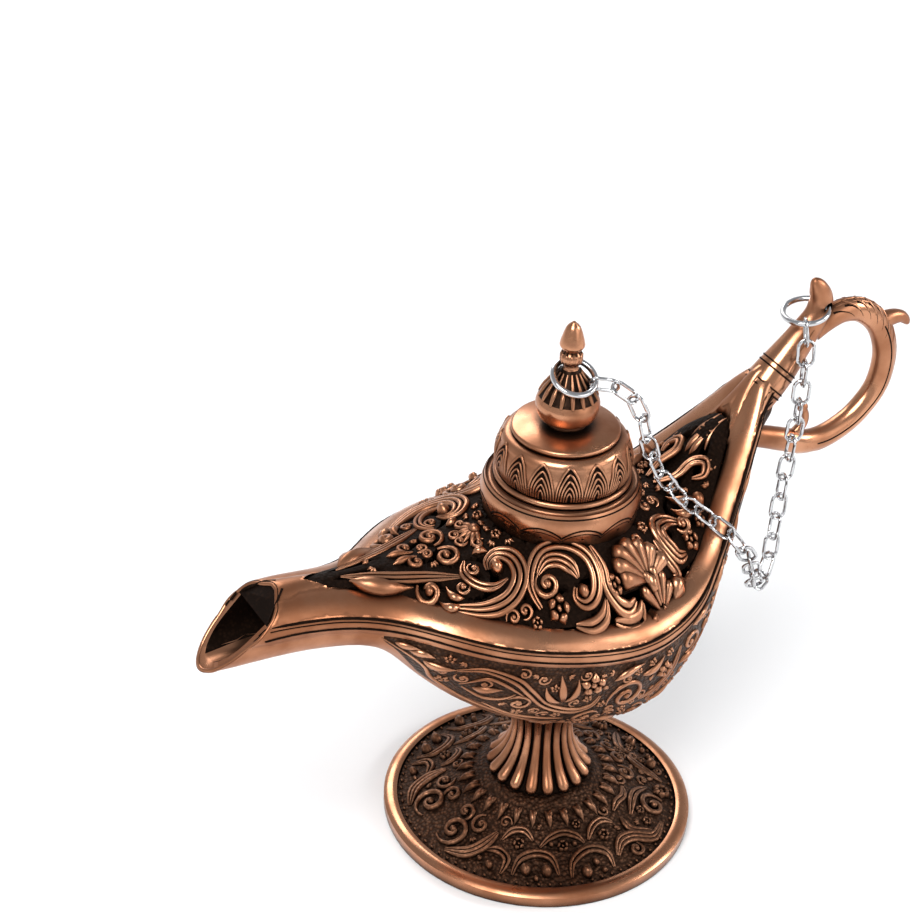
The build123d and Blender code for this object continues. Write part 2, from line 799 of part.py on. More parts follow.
pieces = {
    "foot": foot,
    "pedestal": pedestal,
    "bowl": bowl,
    "bowl_screw": bowl_screw,
    "rim": rim,
    "cover": cover,
    "collar": collar,
    "lid_shell": lid_shell,
    "lid_plug": lid_plug,
    "finial": finial,
    "finial_screw": finial_screw,
    "handle_neck": handle_neck,
    "handle_loop": handle_loop,
    "handle_ring": handle_ring,
    "finial_ring": finial_ring,
}
for index, link in enumerate(links):
    pieces[f"chain_link_{index + 1:02d}"] = link

os.makedirs("parts", exist_ok=True)
for name, piece in pieces.items():
    piece.part.label = name
    export_step(piece.part, f"parts/{name}.step")
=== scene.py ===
import bpy
import bmesh
import json
import math
from mathutils import Matrix, Vector
from mathutils.bvhtree import BVHTree

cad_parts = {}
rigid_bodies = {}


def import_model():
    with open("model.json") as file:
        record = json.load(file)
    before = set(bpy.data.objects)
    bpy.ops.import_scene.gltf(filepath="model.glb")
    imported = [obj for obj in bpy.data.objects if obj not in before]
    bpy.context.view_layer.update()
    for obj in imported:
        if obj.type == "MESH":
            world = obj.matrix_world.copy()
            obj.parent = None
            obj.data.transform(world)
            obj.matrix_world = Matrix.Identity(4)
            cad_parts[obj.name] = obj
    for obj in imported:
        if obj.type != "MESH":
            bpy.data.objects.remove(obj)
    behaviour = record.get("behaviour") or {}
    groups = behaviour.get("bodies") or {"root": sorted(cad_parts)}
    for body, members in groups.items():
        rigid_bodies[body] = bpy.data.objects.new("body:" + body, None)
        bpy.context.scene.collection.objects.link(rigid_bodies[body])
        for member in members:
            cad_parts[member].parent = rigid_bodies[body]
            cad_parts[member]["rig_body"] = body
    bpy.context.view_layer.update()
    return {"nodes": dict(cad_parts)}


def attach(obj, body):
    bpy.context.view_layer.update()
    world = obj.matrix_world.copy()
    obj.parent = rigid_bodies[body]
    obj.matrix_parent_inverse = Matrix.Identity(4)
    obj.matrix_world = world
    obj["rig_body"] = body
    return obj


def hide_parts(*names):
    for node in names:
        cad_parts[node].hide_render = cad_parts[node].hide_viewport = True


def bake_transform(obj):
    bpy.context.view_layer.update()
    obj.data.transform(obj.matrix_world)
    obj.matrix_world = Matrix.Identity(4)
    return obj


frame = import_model()
nodes = frame["nodes"]

# Studio: the lamp stands on a pale sweep of card among four large soft boxes, with the
# camera a little above it and a long lens.
bpy.ops.object.select_all(action="DESELECT")
bpy.ops.mesh.primitive_plane_add(size=6, location=(0, 0, 0))
card = bpy.context.object
card.name = "studio_floor"
card_paint = bpy.data.materials.new("white_card")
card_paint.use_nodes = True
card_shader = card_paint.node_tree.nodes["Principled BSDF"]
card_shader.inputs["Base Color"].default_value = (0.93, 0.93, 0.93, 1)
card_shader.inputs["Roughness"].default_value = 0.7
card.data.materials.append(card_paint)

camera_azimuth, camera_elevation, camera_roll = -30.524, 32.644, 3.057
camera_distance = 0.393263
look_at = Vector((-0.019868, 0, 0.078607))
bearing, tilt, roll = (math.radians(a) for a in (camera_azimuth, camera_elevation, camera_roll))
back = Vector((
    math.sin(bearing) * math.cos(tilt), -math.cos(bearing) * math.cos(tilt), math.sin(tilt)
))
level_right = Vector((math.cos(bearing), math.sin(bearing), 0))
level_up = back.cross(level_right)
right = level_right * math.cos(roll) + level_up * math.sin(roll)
up = level_up * math.cos(roll) - level_right * math.sin(roll)
camera_data = bpy.data.cameras.new("studio_camera")
camera = bpy.data.objects.new("studio_camera", camera_data)
bpy.context.scene.collection.objects.link(camera)
focal_pixels, picture_width = 2500, 915
camera_data.sensor_width = 36
camera_data.lens = focal_pixels * camera_data.sensor_width / picture_width
camera_data.clip_start = 0.01
camera_data.clip_end = 20
axes = Matrix((right, up, back)).transposed().to_4x4()
camera.matrix_world = Matrix.Translation(look_at + back * camera_distance) @ axes
bpy.context.scene.camera = camera
bpy.context.scene.view_settings.view_transform = "Standard"


def soft_box(name, place, size, power):
    """A square light that faces the middle of the lamp."""
    light = bpy.data.lights.new(name, "AREA")
    light.shape = "SQUARE"
    light.size = size
    light.energy = power
    stand = bpy.data.objects.new(name, light)
    bpy.context.scene.collection.objects.link(stand)
    stand.location = place
    stand.rotation_euler = (Vector(place) - Vector((0, 0, 0.05))).to_track_quat("Z", "Y").to_euler()


soft_box("key_box", (-0.45, -0.35, 0.75), 0.45, 6.5)
soft_box("side_box", (0.75, -0.35, 0.45), 0.3, 3.2)
soft_box("back_box", (0.1, 0.8, 0.6), 0.5, 3.5)
soft_box("front_box", (0.42, -0.82, 0.42), 0.6, 1.8)
studio = bpy.data.worlds.new("studio")
studio.use_nodes = True
bpy.context.scene.world = studio
sky = studio.node_tree
sky_nodes = sky.nodes
direction = sky_nodes.new("ShaderNodeTexCoord")
height = sky_nodes.new("ShaderNodeSeparateXYZ")
shade = sky_nodes.new("ShaderNodeValToRGB")
sky.links.new(direction.outputs["Generated"], height.inputs[0])
sky.links.new(height.outputs["Z"], shade.inputs[0])
shade.color_ramp.elements[0].color = (0.85, 0.85, 0.86, 1)
shade.color_ramp.elements[1].color = (0.42, 0.43, 0.45, 1)
shade.color_ramp.elements[1].position = 0.7
sky.links.new(shade.outputs[0], sky_nodes["Background"].inputs["Color"])
sky_nodes["Background"].inputs["Strength"].default_value = 0.8

# Foot: a round plate of cast zinc alloy with a plain rounded edge and a domed field of
# scrolls, flowers and leaves in low relief. Like every casting of the lamp it is plated
# with copper, blackened, and rubbed back, so that only its raised parts shine.
polished = (0.57, 0.275, 0.155, 1)
worn = (0.32, 0.13, 0.064, 1)
blackened = (0.012, 0.007, 0.005, 1)


def antique_copper(name, grain, bite, ground, shine, field=None):
    """Plated copper: grain is the depth of its stipple, bite the reach of the dark recesses,
    ground how dark its open field is, and shine its roughness. A field, given as its lower
    and upper outlines of (x, z) in mm, keeps the stipple and the dark ground within them."""
    paint = bpy.data.materials.new(name)
    paint.use_nodes = True
    tree = paint.node_tree
    link = tree.links.new
    shader = tree.nodes["Principled BSDF"]

    def node(kind, **values):
        """A node of the finish, with the values of its sockets."""
        made = tree.nodes.new("ShaderNode" + kind)
        for socket, value in values.items():
            made.inputs[socket.replace("_", " ")].default_value = value
        return made

    def worked(kind, first, second):
        """The outcome of one sum on two sockets or numbers."""
        step = node("Math")
        step.operation = kind
        for socket, value in zip(step.inputs, (first, second)):
            if isinstance(value, (int, float)):
                socket.default_value = value
            else:
                link(value, socket)
        return step.outputs[0]

    place = node("TexCoord").outputs["Object"]
    inside = 1.0
    if field:
        spot = node("SeparateXYZ")
        link(place, spot.inputs[0])
        # The outlines are curves over 0 to 1, so x and z are brought to that range.
        x_scale, x_shift, z_scale = 7, 0.5, 10
        across = worked("ADD", worked("MULTIPLY", spot.outputs["X"], x_scale), x_shift)
        high = worked("MULTIPLY", spot.outputs["Z"], z_scale)
        for side, outline in enumerate(field):
            bound = node("FloatCurve")
            points = bound.mapping.curves[0].points
            spots = [(x / 1000 * x_scale + x_shift, z / 1000 * z_scale) for x, z in outline]
            points[0].location, points[1].location = spots[0], spots[-1]
            for at in spots[1:-1]:
                points.new(*at)
            bound.mapping.update()
            link(across, bound.inputs["Value"])
            order = (high, bound.outputs[0]) if side == 0 else (bound.outputs[0], high)
            inside = worked("MULTIPLY", inside, worked("GREATER_THAN", *order))

    cloud = node("TexNoise", Scale=90, Detail=5)
    link(place, cloud.inputs["Vector"])
    rub = node("Mix")
    rub.data_type = "RGBA"
    rub.inputs[6].default_value = worn
    rub.inputs[7].default_value = polished
    spread = node("MapRange", From_Min=0.35, From_Max=0.62)
    link(cloud.outputs["Fac"], spread.inputs["Value"])
    link(spread.outputs[0], rub.inputs[0])

    hollow = node("AmbientOcclusion", Distance=bite)
    hollow.samples = 6
    crest = node("MapRange", From_Min=0.45, From_Max=0.95)
    link(worked("SUBTRACT", 1, worked("MULTIPLY", inside, ground)), crest.inputs["To Max"])
    link(hollow.outputs["AO"], crest.inputs["Value"])

    dots = node("TexVoronoi", Scale=1500)
    link(place, dots.inputs["Vector"])
    speck = node("MapRange", From_Min=0.55, From_Max=0.1)
    link(worked("SUBTRACT", 1, worked("MULTIPLY", inside, ground * 0.75)), speck.inputs["To Min"])
    link(worked("ADD", 1, worked("MULTIPLY", inside, ground * 0.6)), speck.inputs["To Max"])
    link(dots.outputs["Distance"], speck.inputs["Value"])
    show = worked("MULTIPLY", crest.outputs[0], speck.outputs[0])
    show.node.use_clamp = True

    colour = node("Mix")
    colour.data_type = "RGBA"
    colour.inputs[6].default_value = blackened
    link(show, colour.inputs[0])
    link(rub.outputs[2], colour.inputs[7])
    link(colour.outputs[2], shader.inputs["Base Color"])

    fine = node("TexNoise", Scale=900, Detail=3)
    link(place, fine.inputs["Vector"])
    dull = node("MapRange", To_Min=shine + 0.22, To_Max=shine)
    link(worked("MULTIPLY", show, spread.outputs[0]), dull.inputs["Value"])
    link(dull.outputs[0], shader.inputs["Roughness"])
    shader.inputs["Metallic"].default_value = 1

    skin = node("Bump", Strength=0.12, Distance=0.00008)
    link(fine.outputs["Fac"], skin.inputs["Height"])
    stipple = node("Bump", Strength=grain, Distance=0.0003)
    stipple.invert = True
    link(worked("MULTIPLY", dots.outputs["Distance"], inside), stipple.inputs["Height"])
    link(skin.outputs[0], stipple.inputs["Normal"])
    link(stipple.outputs[0], shader.inputs["Normal"])
    return paint


smooth_copper = antique_copper("smooth_copper", 0.0, 0.0022, 0.0, 0.2)
field_copper = antique_copper("field_copper", 0.8, 0.0015, 0.84, 0.35)


def outward(piece):
    """Turns a piece's faces outward and makes them smooth."""
    bpy.ops.object.select_all(action="DESELECT")
    piece.select_set(True)
    bpy.context.view_layer.objects.active = piece
    bpy.ops.object.mode_set(mode="EDIT")
    bpy.ops.mesh.select_all(action="SELECT")
    bpy.ops.mesh.normals_make_consistent(inside=False)
    bpy.ops.object.mode_set(mode="OBJECT")
    bpy.ops.object.shade_smooth()
    return piece


def fixed(piece, paint, body="lamp"):
    """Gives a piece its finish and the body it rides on."""
    piece.data.materials.clear()
    piece.data.materials.append(paint)
    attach(piece, body)


def bow(first, middle, last, steps=6):
    """Places along the arc through three places, without the first."""
    (ax, ay), (bx, by), (cx, cy) = first, middle, last
    d = 2 * (ax * (by - cy) + bx * (cy - ay) + cx * (ay - by))
    a2, b2, c2 = ax * ax + ay * ay, bx * bx + by * by, cx * cx + cy * cy
    ux = (a2 * (by - cy) + b2 * (cy - ay) + c2 * (ay - by)) / d
    uy = (a2 * (cx - bx) + b2 * (ax - cx) + c2 * (bx - ax)) / d
    start = math.atan2(ay - uy, ax - ux)
    turn = (math.atan2(cy - uy, cx - ux) - start + math.pi) % math.tau - math.pi
    reach = math.hypot(ax - ux, ay - uy)
    return [
        (ux + reach * math.cos(start + turn * i / steps), uy + reach * math.sin(start + turn * i / steps))
        for i in range(1, steps + 1)
    ]


def turned(name, profile, paint, body, *replaced, crease=40, slot="copper_casting"):
    """A casting turned about the upright axis from its outline of (radius, height) in mm."""
    bpy.ops.mesh.primitive_plane_add(size=0.01)
    piece = bpy.context.object
    piece.name = name
    outline = bmesh.new()
    spots = [outline.verts.new((r / 1000, 0, z / 1000)) for r, z in profile]
    for a, b in zip(spots, spots[1:]):
        outline.edges.new((a, b))
    if profile[0][0] > 0.01:
        outline.edges.new((spots[-1], spots[0]))
    outline.to_mesh(piece.data)
    outline.free()
    spin = piece.modifiers.new("spin", "SCREW")
    spin.steps = spin.render_steps = 144
    spin.use_merge_vertices = True
    spin.merge_threshold = 0.000003
    bpy.ops.object.modifier_apply(modifier="spin")
    outward(piece)
    bpy.ops.object.shade_smooth_by_angle(angle=math.radians(crease))
    fixed(piece, paint, body)
    if replaced:
        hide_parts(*replaced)
    return piece


foot = turned("foot_cast", [
    (0.0, 0.0), (26.5, 0.0), (26.9, 0.15), (27.0, 0.5), (27.0, 2.1),
    *bow((27.0, 2.1), (26.23, 2.6), (24.7, 2.6)),
    (24.7, 2.1), *bow((24.7, 2.1), (17.15, 5.15), (9.6, 9.2), 24), (3.65, 9.2), (3.65, 4.15), (0.0, 4.15),
], field_copper, "lamp", "foot")
foot.data.materials.append(smooth_copper)
edge_inside = 0.02465
for face in foot.data.polygons:
    if math.hypot(face.center.x, face.center.y) > edge_inside or face.normal.z < 0.2:
        face.material_index = 1


def strung(name, lines, corners):
    """Round bars along each line of (x, y, z, radius) in mm, as one mesh."""
    bpy.ops.object.select_all(action="DESELECT")
    bpy.ops.curve.primitive_nurbs_path_add()
    bars = bpy.context.object
    bars.name = name
    bars.data.splines.clear()
    bars.data.bevel_depth = 0.001
    bars.data.bevel_resolution = corners
    bars.data.use_fill_caps = True
    for line in lines:
        run = bars.data.splines.new("POLY")
        run.points.add(len(line) - 1)
        for point, (x, y, z, radius) in zip(run.points, line):
            point.co = (x / 1000, y / 1000, z / 1000, 1)
            point.radius = radius
    bpy.ops.object.convert(target="MESH")
    return bars


def joined(name, strokes, rise):
    """Flat ornament: one tapered ridge for each stroke of (x, y, half width), in mm."""
    ridges = strung(name, [[(x, y, 0, half) for x, y, half in stroke] for stroke in strokes], corners=1)
    for vertex in ridges.data.vertices:
        vertex.co.z *= rise
    return ridges


def laid(piece, casting, origin, toward):
    """Bends a flat ornament onto a casting: each point is dropped on it along its own line."""
    skin = BVHTree.FromObject(casting, bpy.context.evaluated_depsgraph_get())
    for vertex in piece.data.vertices:
        start, aim = origin(vertex.co), toward(vertex.co)
        place, normal, face, reach = skin.ray_cast(start, aim)
        if place is None:
            place, normal, face, reach = skin.find_nearest(start + aim * 0.1)
        if normal.dot(aim) > 0:
            normal = -normal
        vertex.co = place + normal * vertex.co.z
    return outward(piece)


def eased(points, steps=4):
    """Catmull-Rom line through points of any length."""
    ends = [points[0], *points, points[-1]]
    line = []
    for a, b, c, d in zip(ends, ends[1:], ends[2:], ends[3:]):
        for step in range(steps):
            t = step / steps
            line.append(tuple(
                0.5 * (2 * q + (r - p) * t + (2 * p - 5 * q + 4 * r - s) * t * t
                       + (3 * q - p - 3 * r + s) * t ** 3)
                for p, q, r, s in zip(a, b, c, d)
            ))
    return line + [tuple(points[-1])]


def ribbed(points, half, count, pitch, tail=0.3):
    """Ridges side by side along one line, closing on each other towards both ends."""
    line = eased(points)
    last = len(line) - 1
    strokes = []
    for number in range(count):
        shift = (number - (count - 1) / 2) * pitch
        stroke = []
        for i, (x, y) in enumerate(line):
            (x0, y0), (x1, y1) = line[max(i - 1, 0)], line[min(i + 1, last)]
            run = math.hypot(x1 - x0, y1 - y0) or 1
            swell = tail + (1 - tail) * min(1, 3.5 * i / last, 3.5 * (last - i) / last)
            side = shift * swell
            stroke.append((x - (y1 - y0) / run * side, y + (x1 - x0) / run * side, half * swell))
        strokes.append(stroke)
    return strokes


def knob(x, y, radius):
    """A round bead, as one short swelling stroke."""
    return [
        (x + radius * along, y, radius * math.sqrt(max(0.02, 1 - along * along)))
        for along in (-0.95, -0.7, -0.3, 0, 0.3, 0.7, 0.95)
    ]


def volute(x, y, radius, start, turns, half):
    """A ridge that winds in to a knob; negative turns wind clockwise."""
    steps = int(abs(turns) * 14) + 2
    line = []
    for i in range(steps + 1):
        share = i / steps
        reach = radius * (1 - share) ** 0.9 + half * 0.9
        angle = math.radians(start + 360 * turns * share)
        line.append((x + reach * math.cos(angle), y + reach * math.sin(angle),
                     half * (0.4 + 0.6 * min(1, 5 * share))))
    return [line, knob(x, y, half * 1.5)]


def blade(x0, y0, x1, y1, half, bend=0.0):
    """A pointed leaf between two places, bent to one side by a share of its length."""
    dx, dy = x1 - x0, y1 - y0
    return [
        (x0 + dx * t - dy * bend * 4 * t * (1 - t), y0 + dy * t + dx * bend * 4 * t * (1 - t),
         half * max(0.08, math.sin(math.pi * t ** 0.8)))
        for t in (0, 0.1, 0.22, 0.36, 0.5, 0.64, 0.78, 0.9, 1)
    ]


def flower(x, y, radius, petals, turn=0.0):
    """Pointed petals round a bead."""
    strokes = [knob(x, y, radius * 0.26)]
    for petal in range(petals):
        angle = math.radians(turn + petal * 360 / petals)
        c, s = math.cos(angle), math.sin(angle)
        strokes.append(blade(x + c * radius * 0.25, y + s * radius * 0.25,
                             x + c * radius, y + s * radius, radius * 0.36))
    return strokes


def mirrored(strokes):
    """The same strokes on the lamp's other side."""
    return [[(x, -y, half) for x, y, half in stroke] for stroke in strokes]


def widened(strokes, share):
    """The same strokes, drawn wider by a share."""
    return [[(x, y, half * share) for x, y, half in stroke] for stroke in strokes]


def sprigs(strokes, spots, room):
    """Small curls, flowers and leaves for the places that the main strokes leave bare."""
    taken = [(x, y) for stroke in strokes for x, y, half in stroke]
    added = []
    for number, (x, y) in enumerate(spots):
        if min(math.hypot(x - a, y - b) for a, b in taken) < room:
            continue
        turn = number * 67
        if number % 3 == 0:
            sprig = volute(x, y, room * 0.75, turn, 1.1 if number % 2 else -1.1, room * 0.2)
        elif number % 3 == 1:
            sprig = flower(x, y, room * 0.8, 5, turn)
        else:
            sprig = []
            for lean in (-40, 0, 40):
                angle = math.radians(turn + lean)
                sprig.append(blade(x, y, x + room * 0.85 * math.cos(angle),
                    y + room * 0.85 * math.sin(angle), room * 0.22))
        added += sprig
        taken += [(a, b) for stroke in sprig for a, b, half in stroke]
    return added


def polar(r, a):
    """Place in plan of a radius in mm and a bearing in degrees."""
    return (r * math.cos(math.radians(a)), r * math.sin(math.radians(a)))


def swept_round(points, half, count, pitch):
    """Side-by-side ridges along a line given in polar places."""
    return ribbed([polar(*place) for place in points], half, count, pitch)


foot_side = [
    *volute(*polar(19.4, -168), 2.6, 150, 1.4, 0.42),
    *swept_round([(22.9, -164), (21.6, -155), (19.2, -149), (16.2, -145)], 0.34, 3, 0.72),
    *swept_round([(19.6, -147), (19.1, -140), (20.3, -135), (22.9, -136)], 0.32, 2, 0.8),
    knob(*polar(22.0, -142), 0.7), knob(*polar(21.4, -147.5), 0.45),
    *swept_round([(22.7, -131), (19.9, -129), (18.5, -121), (19.3, -113), (22.3, -110.5)], 0.34, 2, 0.8),
    knob(*polar(21.5, -125.5), 0.95), knob(*polar(21.6, -116), 0.95), knob(*polar(22.9, -120.6), 0.5),
    *swept_round([(22.9, -105), (20.4, -103), (18.9, -96), (19.0, -89), (20.6, -84), (23, -85)],
        0.34, 2, 0.8),
    knob(*polar(22.5, -98), 0.95), knob(*polar(21.2, -92), 0.6), knob(*polar(22.9, -90), 0.5),
    *swept_round([(21.6, -80), (19.9, -74), (20.4, -66), (22.9, -58), (22.9, -47)], 0.36, 3, 0.72),
    *swept_round([(22.2, -55), (19.6, -63), (16.9, -62)], 0.32, 2, 0.7),
    *volute(*polar(22.3, -70), 1.1, 60, -1.1, 0.34),
    *swept_round([(17.9, -55), (17.0, -45), (17.3, -36), (19.4, -28)], 0.34, 2, 0.78),
    *volute(*polar(20.7, -40), 2.3, 20, 1.3, 0.4),
    *flower(*polar(22.0, -28), 1.7, 6),
    *swept_round([(22.8, -20), (20.4, -15), (18.6, -8), (18.4, -1)], 0.34, 2, 0.8),
    knob(*polar(21.8, -9), 0.95), knob(*polar(22.6, -2.5), 0.5),
    *swept_round([(17.5, -119), (15.9, -113), (15.2, -104), (16.2, -96), (17.6, -93)], 0.3, 2, 0.66),
    *flower(*polar(17.4, -106), 1.2, 5), knob(*polar(17.0, -112.5), 0.45), knob(*polar(17.3, -99), 0.45),
    *swept_round([(17.2, -141), (15.4, -137), (14.9, -129), (16.4, -123)], 0.3, 2, 0.66),
    *flower(*polar(17.2, -131), 1.2, 5),
    *swept_round([(17.3, -90), (15.6, -84), (15.3, -75), (16.6, -69)], 0.3, 2, 0.66),
    *flower(*polar(17.5, -80), 1.2, 5),
    *volute(*polar(16.3, -157), 1.5, 30, 1.1, 0.34), *volute(*polar(15.9, -171), 1.4, 200, 1.1, 0.34),
    *swept_round([(15.4, -62), (14.9, -54), (15.4, -45), (14.8, -36)], 0.3, 2, 0.66),
    *volute(*polar(15.4, -22), 1.6, 100, -1.1, 0.34), *volute(*polar(15.6, -7), 1.4, 10, 1.1, 0.34),
]
for leaf in range(15):
    angle = -178 + leaf * 12.5
    foot_side.append(blade(*polar(11.4, angle), *polar(14.4, angle + 3.5), 0.55, 0.12))
    foot_side.append(blade(*polar(11.2, angle + 6), *polar(13.2, angle + 5), 0.42, -0.1))
for dot in range(40):
    foot_side.append(knob(*polar(23.9, -178 + dot * 4.5), 0.26))
foot_spots = [polar(13.4 + row * 0.9, -178 + step * 3.1 + row) for row in range(11) for step in range(58)]
foot_side += sprigs(foot_side, foot_spots, 1.2)
foot_strokes = widened(foot_side + mirrored(foot_side), 1.28)
dark_relief = antique_copper("dark_relief", 0.0, 0.0017, 0.5, 0.3)
foot_relief = laid(
    joined("foot_relief", foot_strokes, 1.5), foot,
    lambda flat: Vector((flat.x, flat.y, 0.02)), lambda flat: Vector((0, 0, -1)),
)
fixed(foot_relief, dark_relief)

# Pedestal: a trumpet with eighteen reeds, cast in one piece with the spigot that stands in
# the foot. Its reeds are rubbed bright, and the valleys between them stay black.
# Near-black copper for blackened cut lines, grooves and grounds. Where it is laid inside the spout and under
# the rim, it is painted shade.
blackened_cuts_and_shade = antique_copper("blackened_cuts_and_shade", 0.0, 0.001, 0.98, 0.5)


def rods(name, lines):
    """Round wire along each line of (x, y, z, radius) in mm, smooth all round."""
    return outward(strung(name, lines, corners=2))


turned("pedestal_core", [
    (0.0, 15.9), (1.55, 15.9), (1.55, 24.9), (6.2, 24.9), (5.3, 23.4), (4.75, 21.3), (4.55, 18.5),
    (4.8, 16.0), (5.4, 13.9), (6.4, 12.0), (7.3, 10.7), (8.3, 9.7), (8.4, 9.2), (3.6, 9.2), (3.6, 4.2),
    (0.0, 4.2),
], blackened_cuts_and_shade, "lamp", "pedestal")
reed_count = 18
reed_run = eased([
    (5.9, 24.8, 0.9), (5.3, 23.4, 0.8), (4.8, 21.3, 0.7), (4.65, 18.5, 0.7), (4.95, 16.0, 0.76),
    (5.6, 13.9, 0.86), (6.55, 12.0, 1.0), (7.5, 10.7, 1.14), (8.2, 10.0, 1.1), (8.7, 9.6, 0.8),
    (8.95, 9.4, 0.35),
])
reeds = []
for reed in range(reed_count):
    angle = math.radians((reed + 0.5) * 360 / reed_count)
    reeds.append([(r * math.cos(angle), r * math.sin(angle), z, size) for r, z, size in reed_run])
fixed(rods("pedestal_reeds", reeds), smooth_copper)

# Bowl: the lower casting of the boat-shaped body, screwed down on the pedestal. Its flanks
# carry leaves, a tulip, a star flower and scrolls in low relief on a stippled ground; the
# keel under the spout is plain, and a small rosette is cast low on the stern.
relief_copper = antique_copper("relief_copper", 0.0, 0.0012, 0.0, 0.24)


def dressed(node, paint, crease, ride=True):
    """A casting as the frame gives it, with its seams joined and its curved faces smooth."""
    casting = nodes[node].copy()
    casting.data = nodes[node].data.copy()
    casting.name = node + "_cast"
    casting.parent = None
    for key in list(casting.keys()):
        del casting[key]
    bpy.context.scene.collection.objects.link(casting)
    bpy.ops.object.select_all(action="DESELECT")
    casting.select_set(True)
    bpy.context.view_layer.objects.active = casting
    bpy.ops.object.mode_set(mode="EDIT")
    bpy.ops.mesh.select_all(action="SELECT")
    bpy.ops.mesh.remove_doubles(threshold=0.000002)
    bpy.ops.object.mode_set(mode="OBJECT")
    bpy.ops.object.shade_smooth_by_angle(angle=math.radians(crease))
    casting.data.materials.clear()
    casting.data.materials.append(paint)
    if ride:
        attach(casting, nodes[node]["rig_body"])
    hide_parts(node)
    return casting


panel_low = [
    (-70, 99), (-37.2, 99), (-36.9, 54.3), (-34.6, 51.6), (-31.6, 47.4), (-28.7, 43.8), (-23.9, 41.6),
    (-19.3, 39.2), (-13.4, 36.1), (-6, 31.2), (2, 27), (40, 20), (70, 20),
]
panel_high = [
    (-70, 55.6), (-36.6, 54.7), (-29.0, 53.5), (-21.0, 52.0), (-12.0, 50.5), (-2.0, 48.7), (3.5, 47.8),
    (8.2, 47.7), (13, 48.3), (17.1, 50.0), (24.0, 57.2), (30.0, 65.0), (34.8, 71.9), (39.2, 74.9), (70, 75),
]
bowl_copper = antique_copper("bowl_copper", 0.8, 0.0016, 0.84, 0.3, (panel_low, panel_high))
bowl = dressed("bowl", bowl_copper, crease=35)
bowl.data.materials.append(blackened_cuts_and_shade)
spout_end, stern_start = -0.05, 0.018
spout_start, spout_axis, bowl_axis = -0.03, 0.057, 0.05
mouth_normal = Vector((-0.67572, 0, 0.73715))


def on_mouth(face):
    """Whether a face is part of the cut end of the spout."""
    return face.normal.dot(mouth_normal) > 0.95 and face.center.x < spout_end


# Faces turned in toward the axis of the spout and bowl are painted near black as shade inside the hollow
# body. The mouth's cut face and the stern's outer faces stay copper.
for face in bowl.data.polygons:
    axis = Vector((face.center.x, 0, spout_axis if face.center.x < spout_start else bowl_axis))
    faces_stern = face.center.x > stern_start and face.normal.x > -0.05
    faces_in = face.normal.dot(face.center - axis) < 0 and face.normal.z < 0.9
    if faces_in and not on_mouth(face) and not faces_stern:
        face.material_index = 1
bowl_side = [
    *ribbed([(-36.9, 54.3), (-31, 49), (-28.7, 45.2), (-23.9, 41.2), (-19.3, 38.7), (-13.4, 35.2),
        (-6, 31.5)], 0.28, 1, 0),
    blade(-35, 53.4, -31.5, 52.4, 0.6), blade(-33, 51.9, -29.7, 51.1, 0.7, 0.1),
    blade(-31, 50, -26.9, 49.3, 0.7, -0.1),
    *ribbed([(-26.9, 49.3), (-23.3, 50.2), (-19.0, 48.3), (-16.4, 45.3), (-13.4, 41.8), (-8.9, 39.6),
        (-5.9, 40.2), (-4.8, 42.6)], 0.36, 2, 0.95),
    *ribbed([(-26, 45.9), (-23.1, 48.4), (-20.3, 47.2), (-17.1, 44.3)], 0.32, 1, 0),
    *ribbed([(-25.6, 45.3), (-22.5, 43.2), (-20.2, 43.6), (-18.6, 45.0)], 0.3, 1, 0),
    blade(-24.4, 45.6, -20.6, 45.9, 0.75),
    *volute(-17.6, 42.6, 1.7, 150, -1.2, 0.34),
    *ribbed([(-22, 41.2), (-17.5, 38.4), (-13, 37.4), (-9, 36.6)], 0.3, 1, 0),
    blade(-11.1, 42.4, -12.3, 48.9, 0.8), blade(-11.4, 42.4, -14.4, 46.6, 0.65, 0.15),
    blade(-10.8, 42.4, -9.4, 47.6, 0.65, -0.15),
    *flower(-6.6, 45.8, 2.4, 5, 90),
    *volute(0.6, 40.6, 3.3, 200, -1.6, 0.42), *volute(-5.6, 36.2, 2.0, 20, 1.2, 0.34),
    blade(-2.6, 45.2, 3.2, 46.6, 0.7, 0.1), blade(3.2, 44, 7.8, 46.0, 0.7, -0.1),
    *ribbed([(4.2, 37.4), (7.5, 38.6), (10.5, 41.5), (11.8, 45.8)], 0.34, 2, 0.9),
    *flower(8.4, 42.6, 1.8, 6, 20), *volute(14.6, 45.0, 2.1, 250, 1.3, 0.36),
    blade(12.5, 41, 17.2, 41.6, 0.7, 0.15), blade(14.6, 48.2, 19.6, 49.6, 0.7, 0.12),
    *volute(19.4, 45.6, 1.7, 100, -1.2, 0.34),
    *ribbed([(15, 40), (19, 42.6), (22.6, 47.5), (24.8, 54)], 0.3, 1, 0),
    blade(20.8, 50.6, 24.4, 55.8, 0.7, 0.1), blade(24.6, 55.6, 28.6, 62.2, 0.7, -0.08),
    blade(28.2, 61.8, 32.8, 68.6, 0.6, 0.06),
    *volute(-10.2, 33.4, 1.6, 60, 1.2, 0.3), *volute(4.8, 33.6, 1.8, 120, -1.2, 0.32),
    blade(-3, 33.6, 2, 32.4, 0.6, 0.1),
    blade(7.6, 34.2, 12.4, 37.6, 0.6, -0.12),
]
groove_line = [
    (-57.4, 5.3, 59.6), (-54.9, 5.6, 60.0), (-50.1, 6.3, 59.9), (-43, 7.0, 59.0), (-35.9, 9.2, 57.7),
    (-29, 14.3, 56.5), (-21, 20.1, 54.9), (-12, 23.6, 53.4), (-2, 24.6, 51.6), (3.5, 24.1, 50.8),
    (8.2, 22.8, 50.6), (13, 21.1, 51.3), (17.1, 19.2, 53.0), (20.6, 16.8, 56.4), (24, 14.3, 60.1),
    (27.1, 11.8, 64.0), (30, 9.5, 67.9), (34.8, 5.7, 74.8), (39.2, 2.9, 77.8),
]


